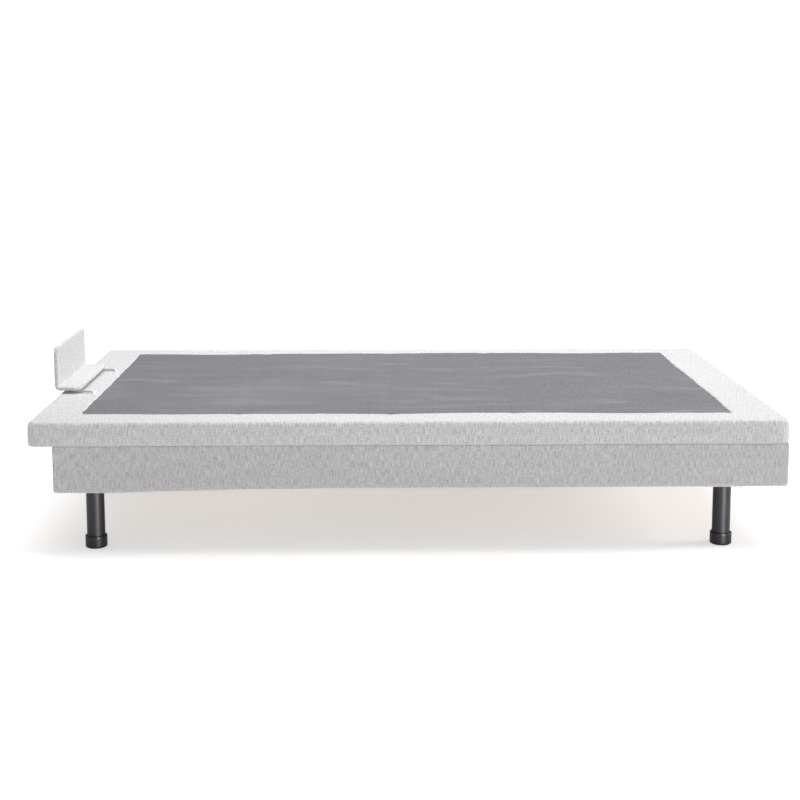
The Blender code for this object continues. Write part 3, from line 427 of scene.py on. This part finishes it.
def gridFaces(rows, columns, closedRows=False, closedColumns=False, first=0):
    # quads of a rows x columns grid of points, columns running fastest
    i = np.arange(rows if closedRows else rows - 1)
    j = np.arange(columns if closedColumns else columns - 1)
    i, j = (a.ravel() for a in np.meshgrid(i, j, indexing="ij"))
    up, right = (i + 1) % rows, (j + 1) % columns
    return first + np.stack([i * columns + j, up * columns + j, up * columns + right, i * columns + right], 1)


def arcPoints(centre, radius, start, end, steps):
    # centre + radius * (cos a, sin a), a running from start to end in degrees
    a = np.radians(np.linspace(start, end, steps + 1))
    return np.stack([centre[0] + radius * np.cos(a), centre[1] + radius * np.sin(a)], 1)


def turned(name, profile, centre, look, around):
    # a profile of (radius, height) points turned about the upright line through centre; both ends on the axis
    profile = np.asarray(profile, float)
    a = np.linspace(0, 2 * pi, around, endpoint=False)
    ring = profile[1:-1]
    x = centre[0] + ring[:, :1] * np.cos(a)
    y = centre[1] + ring[:, :1] * np.sin(a)
    z = np.broadcast_to(ring[:, 1:], x.shape)
    points = np.concatenate([np.stack([x, y, z], -1).reshape(-1, 3),
                             [(*centre, profile[0, 1]), (*centre, profile[-1, 1])]])
    faces = gridFaces(len(ring), around, closedColumns=True).tolist()
    j = np.arange(around)
    after = (j + 1) % around
    last = (len(ring) - 1) * around
    start, end = len(points) - 2, len(points) - 1
    faces += np.stack([np.full(around, start), j, after], 1).tolist()
    faces += np.stack([last + j, np.full(around, end), last + after], 1).tolist()
    return makeMesh(name, points, faces, [look], sharp=35.0)


def graded(stops, end):
    # places along a line: stops are (place, cell size up to the next stop)
    places = [place for place, size in stops] + [end]
    runs = [np.linspace(a, b, max(1, round((b - a) / size)), endpoint=False)
            for (a, size), b in zip(stops, places[1:])]
    return np.concatenate(runs + [[end]])


def smoothstep(value, low, high):
    t = np.clip((value - low) / (high - low), 0, 1)
    return t * t * (3 - 2 * t)


def waves(value, seed, lengths, sizes):
    # a smooth uneven line: a sum of sines of the given lengths and sizes, with seeded phases
    phases = np.random.default_rng(seed).uniform(0, 2 * pi, len(lengths))
    return sum(size * np.sin(2 * pi * value / length + phase)
               for length, size, phase in zip(lengths, sizes, phases))


def slab(xs, ys, corner, ring, bottomHeight):
    # A soft slab in three sheets: a top grid, a ring carried round its outline, and a bottom grid.
    # The outline of the grid is a rectangle whose corner blocks are bent to quarter circles of radius corner:
    # a block's (a, b) goes to (a sqrt(1 - b b / 2), b sqrt(1 - a a / 2)). ring holds (outward, height) points,
    # each carried out from the outline along its normal. Returns points, quads, the cloth's own flat
    # coordinates and each point's column.
    gx, gy = np.meshgrid(xs, ys, indexing="ij")
    cx = np.clip(gx, xs[0] + corner, xs[-1] - corner)
    cy = np.clip(gy, ys[0] + corner, ys[-1] - corner)
    a, b = (gx - cx) / corner, (gy - cy) / corner
    px = cx + corner * a * np.sqrt(1 - b * b / 2)
    py = cy + corner * b * np.sqrt(1 - a * a / 2)
    nx, ny = len(xs), len(ys)
    index = np.arange(nx * ny).reshape(nx, ny)
    rim = np.concatenate([index[:-1, 0], index[-1, :-1], index[:0:-1, -1], index[0, :0:-1]])
    flat = np.stack([px.ravel(), py.ravel()], 1)
    middle = np.stack([cx.ravel(), cy.ravel()], 1)[rim]
    normal = flat[rim] - middle
    straight = np.linalg.norm(normal, axis=1) < 1e-9
    normal[straight] = 0
    inner = np.stack([gx.ravel(), gy.ravel()], 1)[rim]
    normal[straight & (inner[:, 1] <= ys[0]), 1] = -1
    normal /= np.maximum(np.linalg.norm(normal, axis=1, keepdims=True), 1e-9)
    ring = np.asarray(ring, float)
    length = np.concatenate([[0], np.cumsum(np.linalg.norm(np.diff(ring, axis=0), axis=1))])
    count = len(rim)
    across = flat[rim][None] + normal[None] * ring[1:-1, :1, None]
    ringPoints = np.concatenate([across, np.broadcast_to(ring[1:-1, 1][:, None, None], (len(ring) - 2, count, 1))], 2)
    top = np.column_stack([flat, np.full(nx * ny, ring[0, 1])])
    bottom = np.column_stack([flat, np.full(nx * ny, bottomHeight)])
    points = np.concatenate([top, ringPoints.reshape(-1, 3), bottom])
    cloth = np.concatenate([flat, (flat[rim][None] + normal[None] * length[1:-1, None, None]).reshape(-1, 2),
                            flat + 0.5])
    lowest = len(top) + count * (len(ring) - 2)
    rows = np.concatenate([[rim], len(top) + np.arange(count * (len(ring) - 2)).reshape(-1, count), [lowest + rim]])
    topFaces = gridFaces(nx, ny)
    p = np.arange(count)
    q = (p + 1) % count
    ringFaces = np.concatenate([np.stack([rows[k, p], rows[k + 1, p], rows[k + 1, q], rows[k, q]], 1)
                                for k in range(len(rows) - 1)])
    bottomFaces = topFaces[:, ::-1] + lowest
    return {"points": points, "cloth": cloth, "top": topFaces, "ring": ringFaces, "bottom": bottomFaces,
            "rows": rows, "rim": rim, "index": index, "lowest": lowest, "grid": (gx, gy)}


layFloor()
hangLamps()
print("camera, floor and light set")


# one linen cover over the whole deck, in three pieces cut between the hinge lines
padLow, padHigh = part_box("foot_pad")
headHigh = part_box("back_pad")[1]
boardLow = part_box("foot_board")[0]
joints = {joint["name"]: joint for joint in frame["joints"]}
pivotX = {name: joints[name]["pos_m"][0] for name in ("back_lift", "thigh_lift", "knee_fold")}

deck = {
    "corner": 0.028,        # plan radius of the deck's corners
    "inset": 0.014,         # the flat top ends this far inside the edge
    "edge": 0.0115,         # radius of the top edge
    "lowerEdge": 0.0012,
    "wall": 0.0035,
    "hem": 0.0010,          # thickness of the cloth stapled under the boards
    "hemReach": 0.028,
    "hemDrop": 0.0012,
    "cell": 0.009,
    "fine": 0.002,
    "bulge": 0.0012,        # the sides swell this much between their edges
    "sheetX": (-0.873, 0.878), "sheetY": (-0.481, 0.520),
    "groove": 0.0013, "grooveWidth": 0.0028,
    "piping": 0.0011,
    "sag": 0.0016, "hingeWidth": 0.012,                     # the cloth dips this much, this near each hinge line
    "stitchBand": 0.012,                                    # the fine grid runs this far each side of the sewn edge
    "wanderFull": 0.006, "wanderNone": 0.050,               # nearer than the first the sewn edge wanders in full
    "lipPlace": 0.006, "lipWidth": 0.004, "sheetDrop": 0.0006,
    "calmEdge": 0.050,                                      # ripples and swelling fade out over this width
    "rippleDrop": 0.0008, "clothDrop": 0.0012,              # keep the swollen top near its height
    "clothNoise": 0.0004, "clothMass": 0.25, "clothStiffness": 18, "clothBending": 0.6, "clothQuality": 4,
    "heldWidth": 0.55,                                      # of a cloth step, each side of a held line
    "clothStep": 0.030, "pressure": 1.0, "frames": 16,
    "cap": 0.006,           # more than the cloth moves, so it only guards against a wild result
}


def deckRing():
    inset, edge, lower = deck["inset"], deck["edge"], deck["lowerEdge"]
    topZ = padHigh.z
    hemOut = boardLow.z - deck["hemDrop"]
    hemIn = hemOut + deck["hem"]
    out = inset
    upper = arcPoints((out - edge, topZ - edge), edge, 90, 0, 9)
    downZ, downOut = topZ - edge, hemOut + lower
    t = np.linspace(0, 1, 9)[1:-1]
    # the side is fullest half way down and drawn in by the bulge at both its edges
    side = np.stack([out - deck["bulge"] * (1 - np.sin(pi * t)), downZ + (downOut - downZ) * t], 1)
    upper[:, 0] -= deck["bulge"] * smoothstep(upper[:, 0], 0, out)
    under = arcPoints((out - deck["bulge"] - lower, hemOut + lower), lower, 0, -90, 5)
    inward = out - deck["hemReach"]
    half = deck["hem"] / 2
    return np.concatenate([
        [(0.0, topZ)], upper, side, under,
        [(inward + (out - lower - inward) * s, hemOut) for s in (0.66, 0.33)],
        arcPoints((inward + half, hemOut + half), half, -90, -270, 4),
        [(out - deck["wall"], hemIn), (out - deck["wall"], padLow.z), (0.0, padLow.z)],
    ])


def panelEdge(side, place):
    # how far the grey sheet's sewn edge wanders from its straight line: slow waves and a few short puckers
    slow = waves(place, 11 + side, (0.83, 0.37, 0.16), (0.0011, 0.0006, 0.0004))
    short = waves(place, 31 + side, (0.071, 0.043), (0.0006, 0.0004))
    return slow + short * (1 + waves(place, 41 + side, (0.5, 0.31), (0.6, 0.4)))


def settled(gx, gy, inside, edge):
    # The top cloth on a coarse grid, pushed up by the foam and held down along its edges, the sheet's border,
    # the hinge lines and under the retainer's wire. Returns how far each fine point is moved up, made from the
    # coarse cloth by straight interpolation along both ways.
    step = deck["clothStep"]
    xs, ys = gx[:, 0], gy[0]
    keepX = [int(np.argmin(abs(xs - x))) for x in np.arange(xs[0], xs[-1] + step / 2, step)]
    keepY = [int(np.argmin(abs(ys - y))) for y in np.arange(ys[0], ys[-1] + step / 2, step)]
    keepX[-1], keepY[-1] = len(xs) - 1, len(ys) - 1
    cx, cy = np.meshgrid(xs[keepX], ys[keepY], indexing="ij")
    start = np.random.default_rng(7).uniform(-1, 1, cx.shape) * deck["clothNoise"]
    points = np.stack([cx, cy, start], -1).reshape(-1, 3)
    sheet = makeMesh("cloth_trial", points, gridFaces(*cx.shape), [])
    coarse = inside[np.ix_(keepX, keepY)]
    rim = edge[np.ix_(keepX, keepY)]
    near = step * deck["heldWidth"]
    held = (np.abs(coarse) < near) | (rim < 1e-6)
    for x in pivotX.values():
        held |= np.abs(cx - x) < near
    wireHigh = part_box("retainer_wire")[1]
    held |= (cx < wireHigh.x + step) & (np.abs(cy) < wireHigh.y + step)
    group = sheet.vertex_groups.new(name="held")
    group.add(np.flatnonzero(held.ravel()).tolist(), 1.0, "REPLACE")
    cloth = sheet.modifiers.new("cloth", "CLOTH")
    settings = cloth.settings
    settings.quality, settings.mass, settings.vertex_group_mass = deck["clothQuality"], deck["clothMass"], "held"
    settings.tension_stiffness = settings.compression_stiffness = deck["clothStiffness"]
    settings.bending_stiffness = deck["clothBending"]
    settings.use_pressure, settings.uniform_pressure_force = True, deck["pressure"]
    settings.effector_weights.gravity = 0
    cloth.collision_settings.use_collision = False
    cloth.point_cache.frame_start, cloth.point_cache.frame_end = 1, deck["frames"]
    scene = bpy.context.scene
    for frameNumber in range(1, deck["frames"] + 1):
        scene.frame_set(frameNumber)
    done = sheet.evaluated_get(bpy.context.evaluated_depsgraph_get()).data
    moved = np.empty(len(done.vertices) * 3, np.float32)
    done.vertices.foreach_get("co", moved)
    rise = moved.reshape(*cx.shape, 3)[..., 2] - start
    scene.frame_set(1)
    bpy.data.objects.remove(sheet)
    clipped = float((np.abs(rise) > deck["cap"]).mean())
    print("cloth settled: from", round(float(rise.min()), 4), "to", round(float(rise.max()), 4),
          "share past the cap", round(clipped, 3))
    rise = np.clip(rise, -deck["cap"], deck["cap"])
    alongX = np.stack([np.interp(xs, xs[keepX], column) for column in rise.T], 1)
    return np.stack([np.interp(ys, ys[keepY], row) for row in alongX])


def makeDeck():
    corner = deck["corner"] - deck["inset"]
    x0, x1 = padLow.x + deck["inset"], headHigh.x - deck["inset"]
    y0, y1 = padLow.y + deck["inset"], padHigh.y - deck["inset"]
    cutA = (pivotX["knee_fold"] + pivotX["thigh_lift"]) / 2
    cutB = (pivotX["thigh_lift"] + pivotX["back_lift"]) / 2
    cell, fine, near = deck["cell"], deck["fine"], deck["stitchBand"]
    left, right = deck["sheetX"]
    front, rear = deck["sheetY"]
    block = corner / 6
    xs = graded([(x0, block), (x0 + corner, cell), (left - near, fine), (left + near, cell), (cutA, cell),
                 (cutB, cell), (right - near, fine), (right + near, cell), (x1 - corner, block)], x1)
    ys = graded([(y0, block), (y0 + corner, cell), (front - near, fine), (front + near, cell),
                 (rear - near, fine), (rear + near, cell), (y1 - corner, block)], y1)
    shape = slab(xs, ys, corner, deckRing(), padLow.z)
    gx, gy = shape["grid"]
    points = shape["points"]
    count = gx.size
    # the sewn edge: the grid's lines near it follow its wander, then a groove and a raised lip are pressed in
    top = points[:count].reshape(*gx.shape, 3)
    for side, line in enumerate((left, right)):
        near = 1 - smoothstep(np.abs(gx - line), deck["wanderFull"], deck["wanderNone"])
        top[..., 0] += near * panelEdge(side, gy) * smoothstep(gx - x0, 0.0, 0.03)
    for side, line in enumerate((front, rear)):
        near = 1 - smoothstep(np.abs(gy - line), deck["wanderFull"], deck["wanderNone"])
        top[..., 1] += near * panelEdge(side + 2, gx)
    inside = np.minimum(np.minimum(gx - left, right - gx), np.minimum(gy - front, rear - gy))
    groove = np.exp(-(inside / deck["grooveWidth"]) ** 2)
    lip = np.exp(-((inside + deck["lipPlace"]) / deck["lipWidth"]) ** 2)
    top[..., 2] += -deck["groove"] * groove + deck["piping"] * 0.5 * lip
    top[..., 2] -= deck["sheetDrop"] * smoothstep(inside, 0, deck["lipPlace"])
    hinges = sum(np.exp(-((gx - x) / deck["hingeWidth"]) ** 2) for x in pivotX.values())
    fromEdge = np.minimum(np.minimum(gx - x0, x1 - gx), np.minimum(gy - y0, y1 - gy))
    edgeFade = smoothstep(fromEdge, 0, deck["calmEdge"])
    top[..., 2] -= deck["sag"] * hinges * edgeFade
    ripple = waves(gx * 0.7 + gy * 0.4, 3, (0.9, 0.43, 0.21), (0.0008, 0.0005, 0.0003))
    ripple += waves(gy - 0.3 * gx, 5, (0.7, 0.33, 0.17), (0.0007, 0.0005, 0.0002))
    top[..., 2] += (ripple - deck["rippleDrop"]) * edgeFade
    top[..., 2] += settled(gx, gy, inside, edgeFade) - deck["clothDrop"] * edgeFade
    points[:count] = top.reshape(-1, 3)
    # material 1 on the grey sheet's faces, then each face's middle along the bed, which says whose piece it is
    look = np.concatenate([(inside.ravel()[shape["top"]].mean(1) > 0).astype(int),
                           np.zeros(len(shape["ring"]) + len(shape["bottom"]), int)])
    faces = np.concatenate([shape["top"], shape["ring"], shape["bottom"]])
    along = np.concatenate([gx.ravel(), np.tile(gx.ravel()[shape["rim"]], len(shape["rows"]) - 2), gx.ravel()])
    middle = along[faces].mean(1)
    cuts = [x0 - 1, xs[np.argmin(abs(xs - cutA))], xs[np.argmin(abs(xs - cutB))], x1 + 1]
    names = ("cover_foot", "cover_middle", "cover_back")
    pieces = []
    for k, name in enumerate(names):
        chosen = (middle > cuts[k]) & (middle < cuts[k + 1])
        rows = faces[chosen].tolist()
        looksOf = look[chosen].tolist()
        for cut, headward in ((cuts[k], False), (cuts[k + 1], True)):
            if abs(cut) > 1.4:
                continue
            column = int(np.argmin(abs(xs - cut)))
            t = shape["index"][column]
            b = t + shape["lowest"]
            wall = np.stack([b[:-1], b[1:], t[1:], t[:-1]], 1).tolist()
            lowSide = int(np.flatnonzero(shape["rim"] == t[0])[0])
            highSide = int(np.flatnonzero(shape["rim"] == t[-1])[0])
            wall += [shape["rows"][:, lowSide].tolist(), shape["rows"][::-1, highSide].tolist()]
            rows += wall if headward else [row[::-1] for row in wall]
            looksOf += [0] * len(wall)
        used = np.unique(np.concatenate([np.asarray(row) for row in rows]))
        place = np.full(len(points), -1)
        place[used] = np.arange(len(used))
        piece = makeMesh(name, points[used], [place[row] for row in rows], [looks["linen"], looks["sheet"]],
                         looksOf, shape["cloth"][used])
        pieces.append(piece)
    return pieces


bends = {"knee": (0.06, -0.06), "thigh": (0.012, -0.09), "back": (-0.012, 0.11)}   # start and end from the hinge

coverFoot, coverMiddle, coverBack = makeDeck()
kneeX, thighX, backX = pivotX["knee_fold"], pivotX["thigh_lift"], pivotX["back_lift"]
kneeX + bends["knee"][0]
kneeX + bends["knee"][1]
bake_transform(coverFoot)
thighX + bends["thigh"][0]
thighX + bends["thigh"][1]
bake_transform(coverMiddle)
backX + bends["back"][0]
backX + bends["back"][1]
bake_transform(coverBack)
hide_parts("foot_pad")
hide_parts("thigh_pad", "seat_pad")
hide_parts("back_pad")
print("deck cover made:", [len(piece.data.polygons) for piece in (coverFoot, coverMiddle, coverBack)])


# the box under the deck is wrapped in the same linen, made darker as painted shade
boxLow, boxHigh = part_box("box_wrap")

wrap = {
    "corner": 0.0065, "top": 0.0006, "bottom": 0.0075, "cloth": 0.0012,
    "turnIn": 0.026,        # how far the cloth goes in under the skirt boards
    "sag": 0.0095, "sagFrom": -0.84, "sagTo": -0.24,
    "sagFade": (0.001, 0.055),                  # the sag is whole below the first height over the hem, none above
    "cell": 0.010, "turnSteps": 10, "sharpest": 0.0004,
}


def makeWrap():
    # A profile of (inward, height) points carried round a rectangle with round corners. The cloth hangs
    # lower towards the foot end: the lower part of the profile drops by the sag, which fades along the bed.
    low, high, corner = boxLow, boxHigh, wrap["corner"]
    steps, cell = wrap["turnSteps"], wrap["cell"]
    centres = ((high.x - corner, low.y + corner), (high.x - corner, high.y - corner),
               (low.x + corner, high.y - corner), (low.x + corner, low.y + corner))
    pathRuns = []
    for k, (cx, cy) in enumerate(centres):
        turn = arcPoints((cx, cy), corner, -90 + 90 * k, 90 * k, steps)
        nextCentre = centres[(k + 1) % 4]
        angle = radians(90 * k)
        begin = turn[-1]
        end = np.array([nextCentre[0] + corner * cos(angle), nextCentre[1] + corner * sin(angle)])
        count = max(2, round(float(np.linalg.norm(end - begin)) / cell))
        pathRuns += [turn, begin + (end - begin) * np.linspace(0, 1, count, endpoint=False)[1:, None]]
    path = np.concatenate(pathRuns)
    centre = np.stack([np.clip(path[:, 0], low.x + corner, high.x - corner),
                       np.clip(path[:, 1], low.y + corner, high.y - corner)], 1)
    normal = (path - centre) / corner
    ease, roll, cloth = wrap["top"], wrap["bottom"], wrap["cloth"]
    over, thin = high.z + 0.0001, high.z - 0.0002
    outer = np.concatenate([
        [(-wrap["turnIn"] * 0.8, over), (-wrap["turnIn"] * 0.4, over)],
        arcPoints((-ease, over - ease), ease, 90, 0, 4),
        [(0.0, z) for z in np.linspace(over - ease, low.z + roll, 9)[1:-1]],
        arcPoints((-roll, low.z + roll), roll, 0, -90, 6),
        [(-wrap["turnIn"] * t, low.z) for t in (0.5, 1.0)],
    ])
    inner = np.concatenate([
        [(-wrap["turnIn"], low.z + cloth), (-wrap["turnIn"] * 0.5, low.z + cloth)],
        arcPoints((-roll, low.z + roll), roll - cloth, -90, 0, 6),
        [(-cloth, z) for z in np.linspace(low.z + roll, high.z - ease, 9)[1:-1]],
        [(-cloth, thin), (-wrap["turnIn"] * 0.4, thin), (-wrap["turnIn"] * 0.8, thin)],
    ])
    profile = np.concatenate([outer, inner])
    size = np.linalg.norm(np.roll(profile, -1, 0) - profile, axis=1)
    length = np.concatenate([[0], np.cumsum(size[:-1])])
    # an inset deeper than the corner's radius keeps a nearly sharp corner, and the straight runs shrink to fit
    inset = -profile[:, :1]
    rounding = np.maximum(corner - inset, wrap["sharpest"])
    reach = inset + rounding
    mid = ((low.x + high.x) / 2, (low.y + high.y) / 2)
    half = ((high.x - low.x) / 2, (high.y - low.y) / 2)
    x, y = (mid[k] + (centre[:, k][None] - mid[k]) * (half[k] - reach) / (half[k] - corner)
            + normal[:, k][None] * rounding for k in (0, 1))
    z = np.broadcast_to(profile[:, 1:], x.shape).copy()
    sag = wrap["sag"] * (1 - smoothstep(x, wrap["sagFrom"], wrap["sagTo"]))
    sag += waves(x, 21, (0.55, 0.23), (0.0007, 0.0004))
    full, none = wrap["sagFade"]
    z -= np.maximum(sag, 0) * smoothstep(-z, -(low.z + none), -(low.z + full))
    run = np.concatenate([[0], np.cumsum(np.linalg.norm(np.diff(path, axis=0), axis=1))])
    uv = np.stack([np.broadcast_to(run[None], x.shape), np.broadcast_to(-length[:, None], x.shape)], -1)
    points = np.stack([x, y, z], -1).reshape(-1, 3)
    faces = gridFaces(len(profile), len(path), closedRows=True, closedColumns=True)
    piece = makeMesh("box_linen", points, faces, [looks["boxLinen"]], None, uv.reshape(-1, 2), 60.0)
    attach(piece, "base")
    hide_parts("box_wrap")


makeWrap()
print("box wrap made")


# round steel legs on threaded studs, each in a plastic cap
leg = {"flangeLip": 0.002, "flange": 0.0037, "ease": 0.0008, "capEase": 0.0022, "capFoot": 0.005, "lip": 0.0012,
       "stud": 0.005, "studHeight": 0.025, "weld": 0.0012, "capMouth": 0.0004, "capDepth": 0.006, "mouthEase": 0.0008,
       "footRim": 0.010, "around": 64}


def makeLegs():
    for end in ("foot", "head"):
        for side in ("left", "right"):
            low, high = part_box(f"leg_{end}_{side}")
            capLow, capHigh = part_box(f"foot_cap_{end}_{side}")
            centre = ((low.x + high.x) / 2, (low.y + high.y) / 2)
            flange = (high.x - low.x) / 2
            tube = flange - leg["flangeLip"]
            studTop = high.z
            flangeTop = studTop - leg["studHeight"]
            flangeBottom = flangeTop - leg["flange"]
            ease = leg["ease"]
            # (radius, height), from the top of the stud down to the tube's end
            profile = [(0.0, studTop), (leg["stud"] - ease, studTop), (leg["stud"], studTop - ease),
                       (leg["stud"], flangeTop), *arcPoints((flange - ease, flangeTop - ease), ease, 90, 0, 3),
                       *arcPoints((flange - ease, flangeBottom + ease), ease, 0, -90, 3),
                       (tube + leg["weld"], flangeBottom), (tube, flangeBottom - leg["weld"]),
                       *[(tube, z) for z in np.linspace(flangeBottom - 0.004, low.z + 0.002, 8)],
                       (tube - 0.001, low.z), (0.0, low.z)]
            piece = turned(f"tube_leg_{end}_{side}", profile, centre, looks["blackSteel"], leg["around"])
            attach(piece, "base")
            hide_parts(f"leg_{end}_{side}")
            outer = (capHigh.x - capLow.x) / 2
            top, foot = leg["capEase"], leg["capFoot"]
            mouth = tube + leg["capMouth"]
            inside, lipTop = capHigh.z - leg["capDepth"], capHigh.z - leg["mouthEase"]
            profile = [(0.0, inside), (mouth, inside), (mouth, lipTop), (mouth + leg["mouthEase"], capHigh.z),
                       *arcPoints((outer - top, capHigh.z - top), top, 90, 0, 5),
                       *[(outer, z) for z in np.linspace(capHigh.z - top, capLow.z + foot, 6)[1:-1]],
                       *arcPoints((outer - foot, capLow.z + foot), foot, 0, -90, 7),
                       (outer - leg["footRim"], capLow.z), (outer - leg["footRim"] - 0.001, capLow.z + leg["lip"]),
                       (0.0, capLow.z + leg["lip"])]
            piece = turned(f"cap_{end}_{side}", profile, centre, looks["blackPlastic"], leg["around"])
            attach(piece, "base")
            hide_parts(f"foot_cap_{end}_{side}")


makeLegs()
print("legs and caps made")


# the padded board at the foot end that keeps the mattress in place
plateLow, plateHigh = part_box("retainer_plate")

retainer = {"thick": 0.012, "bend": 0.016, "corner": 0.022, "edge": 0.0045, "cell": 0.006, "puff": 0.0008,
            "puffWidth": 0.030}


def makeRetainer():
    # An upholstered board, flat, with a rounded rim, bent to an L: distance along the board s runs from the
    # inner end of the base to the top of the upright; past the base it turns a quarter circle and goes up.
    thick, bend, edge = retainer["thick"], retainer["bend"], retainer["edge"]
    middle = bend - thick / 2
    baseRun = plateHigh.x - plateLow.x - bend
    upRun = plateHigh.z - plateLow.z - bend
    turn = middle * pi / 2
    total = baseRun + turn + upRun
    half = (plateHigh.y - plateLow.y) / 2
    corner = retainer["corner"] - edge
    cell = retainer["cell"]
    xs = graded([(edge, corner / 6), (edge + corner, cell), (baseRun, turn / 8), (baseRun + turn, cell),
                 (total - edge - corner, corner / 6)], total - edge)
    ys = graded([(-half + edge, corner / 6), (-half + edge + corner, cell), (half - edge - corner, corner / 6)],
                half - edge)
    h = thick / 2
    ring = np.concatenate([[(0.0, h)], arcPoints((0.0, h - edge), edge, 90, 0, 5)[1:],
                           [(edge, 0.0)], arcPoints((0.0, edge - h), edge, 0, -90, 5)])
    shape = slab(xs, ys, corner, ring, -h)
    points = shape["points"]
    s, t, n = points[:, 0], points[:, 1], points[:, 2]
    swell = smoothstep(np.minimum(np.minimum(s, total - s), half - np.abs(t)), 0.0, retainer["puffWidth"])
    n = n + np.sign(n) * retainer["puff"] * (swell - 1)
    angle = np.clip((s - baseRun) / turn, 0, 1) * pi / 2
    centreX, centreZ = plateHigh.x - baseRun, plateLow.z + bend
    # the outer face of the board is the lower face of the base, so the thickness points down and outwards
    reach = middle + n
    x = centreX - reach * np.sin(angle) + np.where(s < baseRun, baseRun - s, 0)
    z = centreZ - reach * np.cos(angle) + np.where(s > baseRun + turn, s - baseRun - turn, 0)
    points = np.stack([x, t, z], 1)
    faces = np.concatenate([shape["top"], shape["ring"], shape["bottom"]])
    piece = makeMesh("retainer_pad", points, faces, [looks["linen"]], None, shape["cloth"], 60.0)
    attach(piece, "retainer")
    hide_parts("retainer_plate")


makeRetainer()
print("retainer made")


# frame, boards, hinges and drives keep their CAD meshes
def dress(look, *names):
    for name in names:
        data = frame["nodes"][name].data
        data.materials.clear()
        data.materials.append(looks[look])
        data.shade_smooth()
        data.set_sharp_from_angle(angle=radians(32))


nodes = frame["nodes"]
dress("plywood", *[name for name in nodes if name.startswith("skirt_") or name.endswith("_board")])
dress("blackSteel", *[name for name in nodes if name.startswith(("rail_", "cross_", "seat_riser_", "link_"))
                      or "_tube_left" in name or "_tube_right" in name or name.endswith("_lever")])
dress("zinc", *[name for name in nodes if "_hinge_" in name or name.startswith(("spindle_", "rod_"))
                or name == "retainer_wire"])
dress("greySteel", "outer_tube_back", "outer_tube_legs")
dress("greyPlastic", "gearbox_back", "gearbox_legs", "motor_back", "motor_legs")
dress("blackPlastic", "control_box")
print("frame dressed")
